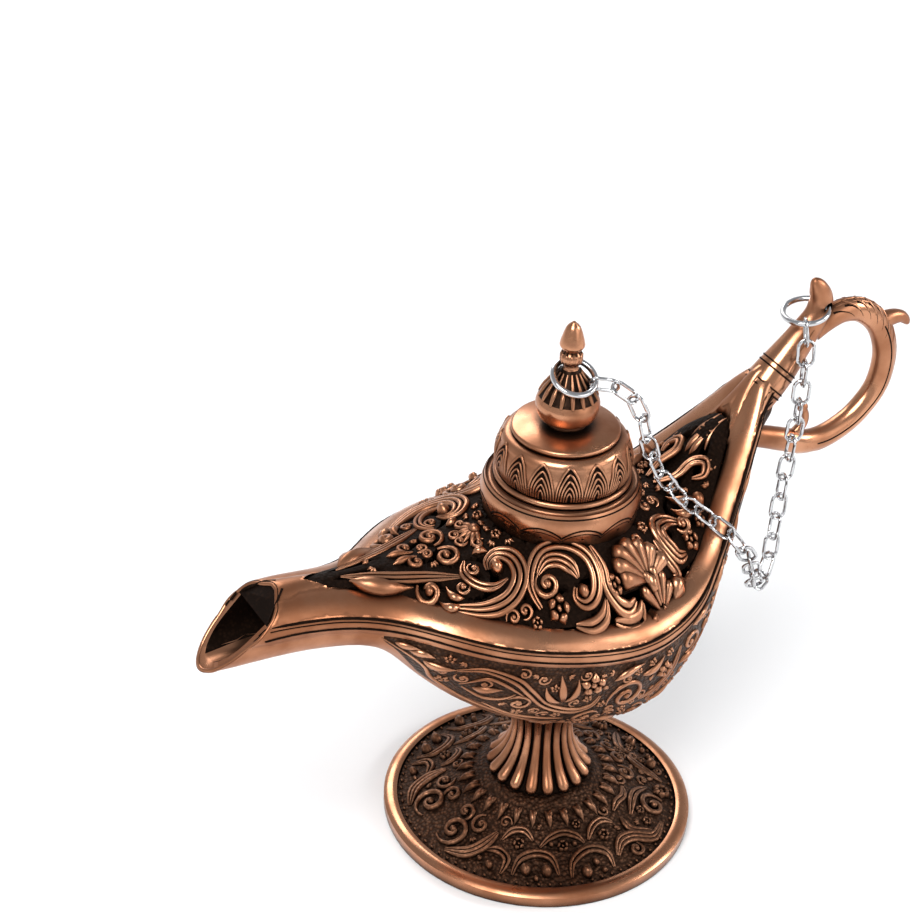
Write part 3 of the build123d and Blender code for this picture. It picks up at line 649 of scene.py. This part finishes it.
def hugged(casting, line, drop, radius):
    """A line lowered by a drop and moved to the nearest place on a casting."""
    skin = BVHTree.FromObject(casting, bpy.context.evaluated_depsgraph_get())
    places = []
    for x, y, z in line:
        near = skin.find_nearest(Vector((x / 1000, y / 1000, (z - drop) / 1000)))[0] * 1000
        places.append((*near, radius))
    return places


grooves = []
for side in (-1, 1):
    line = [(x, side * y, z) for x, y, z in eased(groove_line)]
    grooves.append(hugged(bowl, line, 0.0, 0.24))
    grooves.append(hugged(bowl, line, 0.7, 0.1))
    grooves.append(hugged(bowl, line, 1.75, 0.2))
    plate = [(-50.8, 1.2, 63.3), (-52.3, 2.7, 62.6), (-53.7, 3.8, 61.4), (-54.9, 4.8, 60.3)]
    grooves.append([(x, side * y, z, 0.2) for x, y, z in eased(plate)])
fixed(rods("bead_grooves", grooves), blackened_cuts_and_shade)
# The sprigs keep inside the panel and off the stern.
bowl_spots = []
for column in range(66):
    x = -35 + column
    low, high = (
        next(z0 + (z1 - z0) * (x - x0) / (x1 - x0) for (x0, z0), (x1, z1) in zip(line, line[1:]) if x1 >= x)
        for line in (panel_low, panel_high)
    )
    heights = [high - 1.7 - row * 0.9 for row in range(20)]
    bowl_spots += [(x, z) for z in heights if z > max(low + 1.4, 30) and x < 28 - 0.028 * (50 - z) ** 2]
bowl_side += sprigs(bowl_side, bowl_spots, 1.15)
for number, side in enumerate((-1, 1)):
    bowl_relief = laid(
        joined("bowl_relief_%d" % (number + 1), bowl_side, 1.1), bowl,
        lambda flat: Vector((flat.x, side * 0.04, flat.y)), lambda flat: Vector((0, -side, 0)),
    )
    fixed(bowl_relief, relief_copper)
stern = [*ribbed([(0, 43.2), (0, 48), (0, 54)], 0.32, 1, 0), knob(0, 55.2, 0.8)]
star_height, star_inside, star_outside, star_leaves = 38.9, 2.3, 4.3, 10
for leaf in range(star_leaves):
    c, s = math.cos(math.tau * leaf / star_leaves), math.sin(math.tau * leaf / star_leaves)
    stern.append(blade(star_inside * c, star_height + star_inside * s,
        star_outside * c, star_height + star_outside * s, 0.7))
for side in (-1, 1):
    for z, rise in ((33.6, -2.6), (44.4, 3.4), (48.4, 3.4), (52.2, 3.0)):
        stern += [blade(side * 0.3, z, side * 3.2, z + rise, 0.7, side * 0.14),
            knob(side * 1.5, z + rise, 0.42)]
    for z in (32.8, 46.4, 50.6):
        stern += volute(side * 5.2, z, 1.25, 90, side * 1.2, 0.3)
    stern += flower(side * 6.4, 38.6, 1.3, 5, 90) + flower(side * 5.4, 42.6, 1.1, 5, 90)
    stern += [blade(side * 4.2, 35.4, side * 6.6, 36.2, 0.5, 0.1),
        blade(side * 7.4, 47.4, side * 8.6, 51.4, 0.6, 0.1)]
    stern += volute(side * 8.4, 42.8, 1.3, 90, side * 1.2, 0.3)
stern_relief = laid(
    joined("bowl_relief_3", stern, 1.0), bowl,
    lambda flat: Vector((0.1, flat.x, flat.y)), lambda flat: Vector((-1, 0, 0)),
)
fixed(stern_relief, relief_copper)
boss = turned("bowl_boss", [
    (0.0, -0.4), (2.65, -0.4), (2.65, 0.1), *bow((2.65, 0.1), (2.3, 0.55), (1.6, 0.6)),
    (1.35, 0.42), (1.15, 0.5), *bow((1.15, 0.5), (0.75, 0.95), (0.0, 1.15)),
], smooth_copper, "lamp")
boss_place, stern_normal = Vector((0.0268, 0, 0.0389)), Vector((0.864, 0, -0.503))
boss_lean = stern_normal.to_track_quat("Z", "Y").to_matrix().to_4x4()
boss.data.transform(Matrix.Translation(boss_place) @ boss_lean)

# Bowl screw: a plain plated steel screw inside the bowl that draws it down on the pedestal.
# It is out of sight once the cover is in place.
wire_finish = bpy.data.materials.new("bright_wire")
wire_finish.use_nodes = True
wire_shader = wire_finish.node_tree.nodes["Principled BSDF"]
wire_shader.inputs["Metallic"].default_value = 1
wire_shader.inputs["Base Color"].default_value = (0.6, 0.6, 0.61, 1)
wire_shader.inputs["Roughness"].default_value = 0.16
dressed("bowl_screw", wire_finish, crease=60)

# Rim: the broad smooth moulding round the cover, cast with the ridged roof of the spout and
# seated on the bowl's edge. A thin bead runs round the cut mouth of the spout.
rim = dressed("rim", smooth_copper, crease=35)
rim.data.materials.append(blackened_cuts_and_shade)
# Faces turned downward under the rim are painted near black as shade. Its cut faces at the spout's mouth are
# painted black too.
for face in rim.data.polygons:
    if face.normal.z < -0.5 or on_mouth(face):
        face.material_index = 1
mouth_low, mouth_middle = Vector((-0.065, 0, 0.051)), Vector((-0.0588, 0, 0.05668))
mouth_rise = Vector((0.73715, 0, 0.67572))
lip_inset, lip_sink, lip_radius = 0.00045, 0.00015, 0.36
mouth_flatness = 0.00002
# The furthest vertex of the mouth in every ten degrees round it.
reaches = {}
for casting in (bowl, rim):
    for vertex in casting.data.vertices:
        if abs((vertex.co - mouth_low).dot(mouth_normal)) < mouth_flatness:
            off = vertex.co - mouth_middle
            rise, reach = off.dot(mouth_rise), math.hypot(off.y, off.dot(mouth_rise))
            turn = round(math.degrees(math.atan2(rise, off.y)) / 10) % 36
            if reach > reaches.get(turn, (0, 0))[0]:
                reaches[turn] = (reach, math.atan2(rise, off.y))
mouth_line = []
for turn in sorted(reaches):
    reach, angle = reaches[turn]
    outwards = Vector((0, math.cos(angle), 0)) + mouth_rise * math.sin(angle)
    spot = mouth_middle + outwards * (reach - lip_inset)
    mouth_line.append((*((spot - mouth_normal * lip_sink) * 1000), lip_radius))
fixed(rods("spout_lip", [eased(mouth_line + mouth_line[:1])]), smooth_copper)

# Cover: a pierced and crowned casting of scrolls, leaves, flowers and shells that closes
# the bowl inside the rim, deep cut and blackened between its ornaments.


def rib(x0, y0, x1, y1, half):
    """One rib of a shell: it swells from the hub to a round end."""
    shares = ((0.12, 0.3), (0.4, 0.6), (0.7, 0.9), (0.88, 1.0), (0.97, 0.75), (1.0, 0.3))
    return [(x0 + (x1 - x0) * t, y0 + (y1 - y0) * t, half * swell) for t, swell in shares]


pierced_copper = antique_copper("pierced_copper", 0.5, 0.002, 0.985, 0.5)
dressed("cover", pierced_copper, crease=35)
cover_side = [
    *ribbed([(-40.5, -0.9), (-34, -3.1), (-27.6, -5.3), (-21.8, -7.7)], 0.26, 3, 0.72, 0.15),
    blade(-39.6, -2.0, -30.2, -6.0, 1.1, -0.03), blade(-37.4, -2.6, -31.6, -5.4, 0.4, -0.03),
    *volute(-28.2, -7.6, 1.6, 130, 1.0, 0.5),
    *ribbed([(-26.2, -11.0), (-24.1, -12.4), (-21.8, -13.7), (-19.2, -14.4), (-16.6, -14.0), (-14.4, -12.3),
        (-13.6, -10.1), (-14.0, -7.9), (-15.6, -6.5), (-17.4, -7.0), (-18.0, -8.4)], 0.42, 3, 1.0, 0.3),
    knob(-16.7, -8.7, 1.05),
    *ribbed([(-16.0, -11.2), (-18.7, -11.4), (-20.9, -9.8), (-21.9, -7.2), (-20.6, -5.0)], 0.34, 2, 0.8),
    blade(-24.6, -11.6, -27.4, -9.4, 0.7, 0.2), blade(-23.6, -10.9, -25.4, -8.0, 0.6, 0.25),
    *ribbed([(-13.3, -17.4), (-13.6, -15.6), (-13.3, -13.4), (-11.6, -11.1), (-9.5, -9.9), (-7.0, -10.3),
        (-4.9, -11.6), (-3.3, -13.6), (-2.9, -15.8), (-3.5, -17.8), (-4.8, -19.0), (-6.4, -19.2),
        (-7.5, -18.2), (-6.9, -17.0)], 0.42, 2, 1.0, 0.4),
    knob(-5.9, -17.7, 0.8),
    *ribbed([(-11.6, -13.0), (-9.6, -12.0), (-7.6, -12.7), (-6.3, -14.4), (-5.9, -16.0)], 0.36, 3, 0.8, 0.2),
    *volute(-10.9, -14.9, 1.7, 110, 1.3, 0.42),
    *flower(-10.7, -18.4, 2.0, 5, 60),
    *ribbed([(-2.0, -12.6), (-1.4, -15.6), (-1.8, -18.2), (-0.4, -19.9), (1.6, -20.2), (3.2, -19.4)],
        0.42, 2, 0.9),
    rib(6.6, -17.4, 0.9, -17.6, 0.95), rib(6.6, -17.2, 0.4, -15.9, 1.0), rib(6.7, -17.0, 1.3, -14.1, 1.05),
    rib(6.8, -16.9, 3.3, -12.9, 1.05), rib(7.0, -16.9, 6.0, -12.6, 1.05), rib(7.2, -16.9, 8.6, -13.0, 1.05),
    rib(7.4, -17.1, 10.8, -14.2, 1.0), knob(7.0, -17.5, 0.9),
    rib(8.7, -19.6, 4.9, -18.4, 0.55), rib(8.8, -19.4, 5.8, -16.6, 0.6), rib(8.9, -19.3, 7.6, -15.7, 0.65),
    rib(9.1, -19.3, 9.6, -16.0, 0.6), rib(9.3, -19.4, 11.2, -16.9, 0.5), knob(9.0, -19.5, 0.5),
    *ribbed([(16.6, -13.6), (14.6, -13.8), (12.6, -12.0), (12.6, -9.9), (15.2, -8.9), (17.6, -9.6)],
        0.42, 3, 0.95, 0.25),
    *ribbed([(10.8, -12.2), (11.9, -14.4), (13.4, -15.8), (12.2, -17.0)], 0.36, 2, 0.8),
    *flower(18.2, -12.1, 1.5, 5, 10), *volute(17.8, -9.9, 1.0, 200, 1.0, 0.4),
    knob(22.0, -7.9, 1.0), blade(20.8, -8.8, 17.2, -7.2, 0.7, 0.2), blade(21.6, -7.0, 17.6, -4.8, 0.7, 0.2),
    *ribbed([(17.6, -1.0), (21.0, -2.4), (24.2, -2.2), (25.8, -3.9), (24.6, -5.4), (22.8, -4.6)],
        0.36, 2, 0.8),
    *flower(26.4, -5.0, 1.1, 5), blade(26.6, -2.2, 31.4, -0.8, 0.6, 0.1), blade(24.6, -0.6, 29.6, -0.5, 0.6),
    *volute(-22.6, -2.8, 1.9, 100, -1.3, 0.42), *volute(-27.6, -2.0, 1.2, 60, 1.0, 0.34),
    blade(-31.4, -1.2, -27.0, -0.5, 0.5), blade(-18.8, -4.4, -16.4, -5.6, 0.6, 0.2),
    *ribbed([(-8.8, -20.9), (-6.2, -21.5), (-3.6, -20.8), (-2.4, -19.2)], 0.4, 2, 0.85),
    *ribbed([(-1.6, -21.3), (1.2, -21.4), (3.6, -20.7), (4.6, -19.4)], 0.4, 2, 0.85),
    *flower(-0.4, -18.0, 1.5, 5, 30), knob(6.4, -20.6, 0.8), blade(11.6, -18.6, 15.0, -16.2, 0.8, 0.15),
]
# The crowned skin that the ornament lies on: (x, half width, edge height, crown height).
crown_line = [
    (-47.3, 1.8, 61.7, 62.6), (-38.6, 4.1, 60.1, 62.3), (-30.8, 7.9, 58.6, 62.0), (-23.0, 14.8, 57.2, 62.0),
    (-14.9, 20.1, 55.8, 63.5), (-6.9, 22.2, 54.3, 66.5), (1.0, 21.5, 52.9, 68.0), (8.8, 19.4, 52.4, 66.0),
    (16.7, 15.8, 54.5, 63.9), (24.7, 9.3, 63.1, 67.3), (31.2, 3.3, 71.2, 72.9),
]
crown_fine = eased(crown_line, 6)


def crowned(x, y):
    """Height of the cover's skin in mm over a place in plan."""
    after = next((i for i, row in enumerate(crown_fine) if row[0] >= x), len(crown_fine) - 1)
    low, high = crown_fine[max(after - 1, 0)], crown_fine[after]
    share = min(1, max(0, (x - low[0]) / ((high[0] - low[0]) or 1)))
    half, edge, crown = (a + (b - a) * share for a, b in zip(low[1:], high[1:]))
    radius = (half * half + (crown - edge) ** 2) / (2 * (crown - edge))
    return crown - radius + math.sqrt(max(0, radius * radius - min(abs(y), half) ** 2))


def draped(piece):
    """Bends a flat ornament onto the cover's crowned skin."""
    near = 0.4
    for vertex in piece.data.vertices:
        x, y, rise = (value * 1000 for value in vertex.co)
        lean = Vector((
            crowned(x - near, y) - crowned(x + near, y), crowned(x, y - near) - crowned(x, y + near), 2 * near
        ))
        vertex.co = (Vector((x, y, crowned(x, y))) + lean.normalized() * rise) / 1000
    return outward(piece)


cover_spots = []
spot_pitch, collar_room = 1.05, 13.6
for column in range(70):
    x = -41 + column * spot_pitch
    half = min(crown_fine, key=lambda row: abs(row[0] - x))[1] - 1.2
    for row in range(20):
        y = -0.9 - row * spot_pitch
        if -y < half and math.hypot(x, y) > collar_room:
            cover_spots.append((x, y))
cover_side += sprigs(cover_side, cover_spots, 1.3)
cover_strokes = widened(cover_side + mirrored(cover_side), 1.25)
for finger in range(-3, 4):
    angle = math.radians(180 + finger * 24)
    cover_strokes.append(blade(-15.7, 0, -15.7 + 3.6 * math.cos(angle), 3.6 * math.sin(angle), 0.6))
cover_strokes.append(knob(-15.9, 0, 1.0))
fixed(draped(joined("cover_relief", cover_strokes, 1.5)), relief_copper)

# Collar: the ring on the cover that the lid sits in, turned smooth, with a scalloped line
# and small dots cut round its skirt and blackened.
collar = turned("collar_cast", [
    (11.1, 62.6), (12.7, 62.6), (12.7, 65.2), *bow((12.7, 65.2), (13.2, 67.9), (12.5, 69.8)),
    *bow((12.5, 69.8), (11.97, 70.6), (11.43, 70.2)), (11.4, 70.0), (8.6, 70.0), (8.6, 68.4), (11.6, 68.4),
], smooth_copper, "lamp", "collar")
scallops = []
scallop_count = 12
for scallop in range(scallop_count):
    width = 360 / scallop_count
    middle = (scallop + 0.5) * width
    for low, high, half in ((65.9, 67.5, 0.17), (65.2, 66.8, 0.1)):
        scallops.append([
            (middle + width * (share - 0.5), low + (high - low) * math.sin(math.pi * share) ** 0.7, half)
            for share in (i / 12 for i in range(13))
        ])
    scallops.append([(middle + step, 65.7, half) for step, half in ((-1.2, 0.05), (0, 0.32), (1.2, 0.05))])


def round_cut(name, casting, strokes, rise, body, paint):
    """Lays strokes of (degrees, height, half width) round a turned casting."""
    girth = 11.0
    flat = [[(math.radians(a) * girth, z, half) for a, z, half in stroke] for stroke in strokes]

    def spoke(at):
        return Vector((math.cos(at.x * 1000 / girth), math.sin(at.x * 1000 / girth), 0))

    piece = laid(
        joined(name, flat, rise), casting,
        lambda at: spoke(at) * 0.03 + Vector((0, 0, at.y)), lambda at: -spoke(at),
    )
    fixed(piece, paint, body)
    return piece


round_cut("collar_scallops", collar, scallops, 0.35, "lamp", blackened_cuts_and_shade)
round_cut("collar_lip_line", collar, [[(a, 69.3, 0.13) for a in range(0, 361, 3)]], 0.35, "lamp", blackened_cuts_and_shade)

# Lid: a hollow casting, lifted off by hand, with a bead at its foot, a bulging band cut
# with pointed leaves, and a smooth disc on top.
lid_shell = turned("lid_shell_cast", [
    (9.3, 70.1), (11.1, 70.1), *bow((11.1, 70.1), (11.34, 70.65), (10.5, 71.2)),
    *bow((10.5, 71.2), (11.1, 73.9), (10.4, 76.6), 12), *bow((10.4, 76.6), (10.05, 77.7), (8.6, 78.3)),
    (8.75, 78.45), (8.88, 78.75), (8.9, 79.0), (8.75, 79.25), (8.4, 79.4), (3.4, 80.0),
    (1.15, 80.0), (1.15, 78.4), (7.0, 78.4), (7.0, 76.6), *bow((7.0, 76.6), (9.5, 74.5), (9.3, 71.2)),
], smooth_copper, "lid", "lid_shell")
leaf_count = 15
leaf_foot = 71.6


def pointed(rise):
    """Half width of a pointed leaf at a share of its height."""
    return (1 - rise ** 2.4) ** 0.75


leaf_pads = []
leaf_lines = []
for leaf in range(leaf_count):
    middle = leaf * 360 / leaf_count + 4
    pad = []
    for step in range(14):
        rise = step / 13
        pad.append((middle, leaf_foot + 6.1 * rise, 2.2 * pointed(rise) + 0.04))
    leaf_pads.append(pad)
    for nest in range(5):
        span = 11.0 * (1 - nest * 0.2)
        peak = 77.6 - nest * 1.05
        arch = []
        for i in range(21):
            side = i / 10 - 1
            rise = 1 - abs(side) ** 1.25
            height = leaf_foot + (peak - leaf_foot) * rise
            arch.append((middle + math.copysign(span * pointed(rise), side), height, 0.22 - nest * 0.01))
        leaf_lines.append(arch)
round_cut("lid_leaf_grounds", lid_shell, leaf_pads, 0.07, "lid", blackened_cuts_and_shade)
round_cut("lid_leaf_veins", lid_shell, leaf_lines, 1.3, "lid", relief_copper)

# Lid plug: a short copper-plated tube pressed into the lid from below. It drops into the
# collar and keeps the lid in its place.
dressed("lid_plug", smooth_copper, crease=35)

# Finial: an onion with sixteen flutes that run up to a thin neck, a fine bead and an egg
# with a point, screwed on from inside the lid.
finial_copper = antique_copper(
    "finial_copper", 0.0, 0.0016, 0.95, 0.2, ([(-70, 85.0), (70, 85.0)], [(-70, 90.0), (70, 90.0)])
)
onion = eased([
    (3.2, 80.8), (4.47, 81.22), (5.2, 83.4), (4.84, 84.9), (3.64, 86.8), (2.18, 88.7), (1.25, 90.2),
], 6)
egg = eased([(1.25, 93.07), (1.9, 93.9), (2.0, 94.7), (1.24, 97.17), (0.5, 98.1), (0.0, 98.5)], 5)
finial = turned("finial_cast", [
    (0.0, 80.0), (3.4, 80.0), (3.4, 80.5), *onion, (1.25, 90.82),
    *bow((1.25, 90.82), (1.8, 91.95), (1.25, 93.07), 10),
    *egg[1:-1], (0.0, 98.5),
], finial_copper, "lid", "finial", crease=60)
flute_count = 16
flutes = []
for flute in range(flute_count):
    angle = flute * 360 / flute_count
    flutes.append([(angle, 84.9 + 4.6 * i / 9, 1.65 * (0.35 + 0.65 * min(1, 3 * i / 9)) * (1 - 0.45 * i / 9))
        for i in range(10)])
round_cut("finial_flutes", finial, flutes, 0.3, "lid", smooth_copper)
beads = []
for bead in range(12):
    beads.append([(bead * 30 + step, 91.95, half)
        for step, half in ((-11, 0.2), (-7, 0.8), (0, 1.3), (7, 0.8), (11, 0.2))])
round_cut("finial_beads", finial, beads, 0.2, "lid", smooth_copper)

# Finial screw: a small plated steel screw under the lid's disc that holds the finial.
# It shows only from inside the lid.
dressed("finial_screw", wire_finish, crease=60)

# Handle neck: the casting that rises from the rim's rear end and curls into a pierced hook.
# Two pairs of lines are cut round it, and a fine crest runs up each side.


def hull(name, stations, paint, *replaced):
    """A casting with oval sections of (x, z, half width, half depth) along the handle, in mm."""
    bpy.ops.mesh.primitive_plane_add(size=0.01)
    piece = bpy.context.object
    piece.name = name
    shape = bmesh.new()
    sides = 32
    line = eased(stations, 5)
    rings = []
    for i, (x, z, half, deep) in enumerate(line):
        (x0, z0), (x1, z1) = line[max(i - 1, 0)][:2], line[min(i + 1, len(line) - 1)][:2]
        length = math.hypot(x1 - x0, z1 - z0)
        up = Vector((-(z1 - z0) / length, 0, (x1 - x0) / length))
        ring = []
        for k in range(sides):
            angle = math.tau * k / sides
            spot = Vector((x, 0, z)) + Vector((0, half * math.cos(angle), 0)) + up * deep * math.sin(angle)
            ring.append(shape.verts.new(spot / 1000))
        rings.append(ring)
    for low, high in zip(rings, rings[1:]):
        for k in range(sides):
            shape.faces.new((low[k], low[(k + 1) % sides], high[(k + 1) % sides], high[k]))
    shape.faces.new(rings[0])
    shape.faces.new(rings[-1])
    shape.to_mesh(piece.data)
    shape.free()
    outward(piece)
    fixed(piece, paint)
    if replaced:
        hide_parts(*replaced)
    return piece


neck_run = [
    (35.4, 73.2, 3.5, 3.0), (37.6, 75.7, 3.6, 3.4), (39.8, 78.1, 3.45, 3.5), (41.9, 80.4, 3.1, 3.35),
    (45.2, 84.5, 2.45, 2.75), (48.0, 88.2, 2.0, 2.35), (48.6, 91.2, 1.8, 2.15), (47.7, 93.6, 1.4, 1.6),
    (46.8, 94.9, 0.8, 0.9), (46.4, 95.3, 0.3, 0.35),
]
hook_hole = (0.0492, 0, 0.0902)
neck = hull("handle_neck_cast", neck_run, smooth_copper, "handle_neck")
bpy.ops.mesh.primitive_cylinder_add(
    radius=0.00095, depth=0.01, location=hook_hole, rotation=(math.radians(90), 0, 0), vertices=32
)
drill = bpy.context.object
bore = neck.modifiers.new("bore", "BOOLEAN")
bore.operation = "DIFFERENCE"
bore.object = drill
bpy.context.view_layer.objects.active = neck
bpy.ops.object.modifier_apply(modifier="bore")
bpy.data.objects.remove(drill)
hoops = []
neck_along_x, neck_along_z = 0.68, 0.73
for x, z, half, deep in ((38.5, 76.7, 3.58, 3.5), (41.0, 79.4, 3.26, 3.42)):
    for shift, size in ((0, 0.15), (0.9, 0.12)):
        hoop = []
        for k in range(41):
            angle = math.tau * k / 40
            rise = deep * math.sin(angle)
            hoop.append((x + shift * neck_along_x - rise * neck_along_z, half * math.cos(angle),
                z + shift * neck_along_z + rise * neck_along_x, size))
        hoops.append(hoop)
fixed(rods("neck_band_lines", hoops), blackened_cuts_and_shade)


def run_of(path):
    """Reads a path of (x, z) in mm by the distance along it: place and outward normal."""
    line = eased(path, 8)
    marks = [0.0]
    for (x0, z0), (x1, z1) in zip(line, line[1:]):
        marks.append(marks[-1] + math.hypot(x1 - x0, z1 - z0))

    def at(distance):
        i = min(max(sum(mark < distance for mark in marks) - 1, 0), len(line) - 2)
        (x0, z0), (x1, z1) = line[i], line[i + 1]
        share = (distance - marks[i]) / (marks[i + 1] - marks[i])
        length = math.hypot(x1 - x0, z1 - z0)
        place = Vector((x0 + (x1 - x0) * share, 0, z0 + (z1 - z0) * share)) / 1000
        return place, Vector((-(z1 - z0) / length, 0, (x1 - x0) / length))

    return at


def beside(at, flat, across):
    """Place beside the handle, from the distance along its line and the height over it."""
    place, normal = at(flat.x * 1000)
    return place + normal * flat.y + Vector((0, across, 0))


neck_at = run_of([(37.6, 75.7), (39.8, 78.1), (41.9, 80.4), (45.2, 84.5), (48.0, 88.2), (48.6, 91.2),
    (47.7, 93.6)])
for side in (-1, 1):
    crest = laid(
        joined("handle_neck_crest_%d" % (side + 2), [[(5.6 + i * 0.5, 0.5, 0.2) for i in range(18)]], 0.9),
        neck,
        lambda flat: beside(neck_at, flat, side * 0.012),
        lambda flat: Vector((0, -side, 0)),
    )
    fixed(crest, smooth_copper)

# Finger loop: a bent bar cast on to the neck and the bowl, with a thumb leaf on its back,
# veined leaves along its top, and an inward curl that ends in a ball.
loop = hull("handle_loop_cast", [
    (47.6, 85.2, 1.7, 1.9), (50.6, 87.1, 1.9, 2.1), (53.9, 87.9, 1.9, 2.1), (57.8, 86.9, 1.9, 2.1),
    (61.8, 83.2, 1.9, 2.1), (64.0, 77.5, 1.9, 2.1), (63.4, 71.2, 1.9, 2.1), (60.1, 66.7, 1.9, 2.1),
    (56.3, 64.2, 1.9, 2.1), (52.2, 63.0, 1.9, 2.1), (48.2, 63.3, 1.9, 2.1), (44.6, 64.7, 1.9, 2.1),
    (40.8, 66.2, 1.9, 2.0), (37.4, 67.4, 1.8, 1.9),
], smooth_copper, "handle_loop")
hull("handle_leaf", [
    (60.5, 82.6, 1.2, 1.6), (62.2, 83.7, 1.45, 1.7), (64.2, 84.1, 1.35, 1.5), (66.2, 83.9, 1.15, 1.15),
    (67.4, 83.1, 0.95, 0.9), (68.0, 82.3, 0.65, 0.55), (68.2, 81.9, 0.25, 0.2),
], smooth_copper)
curl = [(45.6, 0, 64.6, 1.0), (47.3, 0, 65.7, 0.95), (48.4, 0, 67.3, 0.85), (48.5, 0, 69.0, 0.75),
    (47.8, 0, 70.4, 0.6)]
ball = [(47.8, 0, 70.46 + a, math.sqrt(max(0.01, 1 - a * a)))
    for a in (-0.99, -0.9, -0.7, -0.4, 0, 0.4, 0.7, 0.9, 0.99)]
fixed(rods("handle_curl", [eased(curl), ball]), smooth_copper)
loop_at = run_of([
    (48.4, 85.8), (53.6, 87.9), (57.8, 87.0), (61.8, 83.2), (64.0, 77.5), (63.4, 71.2), (60.1, 66.7),
    (56.3, 64.2), (52.2, 63.0), (48.2, 63.3), (44.6, 64.7),
])
loop_lines = [
    [(4 + i, side * 0.75, 0.17 if 4 < i < 40 else 0.08) for i in range(44)] for side in (-1, 1)
]
loop_lines.append([(3 + i * 0.5, 0, 0.26 - i * 0.004) for i in range(50)])
for vein in range(7):
    start = 5.5 + vein * 1.9
    for side in (-1, 1):
        loop_lines.append([(start + t * 2.2, side * (0.15 + 1.6 * t ** 0.7), 0.27 * (1 - 0.7 * t))
            for t in (0, 0.25, 0.5, 0.75, 1)])
loop_relief = laid(
    joined("handle_loop_veins", loop_lines, 1.0), loop,
    lambda flat: loop_at(flat.x * 1000)[0] + loop_at(flat.x * 1000)[1] * 0.008 + Vector((0, flat.y, 0)),
    lambda flat: -loop_at(flat.x * 1000)[1],
)
fixed(loop_relief, relief_copper)
loop_cuts = [[(15 + i, 0.35 - 0.02 * i, 0.16) for i in range(30)]]
for cut in range(6):
    start = 3.2 + cut * 2.1
    loop_cuts.append([
        (start + 3.6 * t, 1.7 - 2.2 * t ** 1.6, 0.16 * (1 - 0.75 * t))
        for t in (0, 0.15, 0.3, 0.45, 0.6, 0.75, 0.9, 1)
    ])
for side in (-1, 1):
    loop_groove = laid(
        joined("handle_loop_groove_%d" % (side + 2), loop_cuts, 0.4), loop,
        lambda flat: beside(loop_at, flat, side * 0.008),
        lambda flat: Vector((0, -side, 0)),
    )
    fixed(loop_groove, blackened_cuts_and_shade)

# Rings: two jump rings of bright plated steel wire, bent and closed by hand, one round the
# finial's neck and one through the hook.
for name in ("finial_ring", "handle_ring"):
    dressed(name, wire_finish, crease=60)

# Chain: thirty-one oval links of the same wire, each closed round the next. It hangs from
# the lid's ring to the hook's, and its links stay where they hang.
lid_links = 18
for name in [node for node in nodes if node.startswith("chain_link")]:
    link = dressed(name, wire_finish, crease=60, ride=False)
    if int(name[-2:]) <= lid_links:
        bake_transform(link)
    else:
        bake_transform(link)
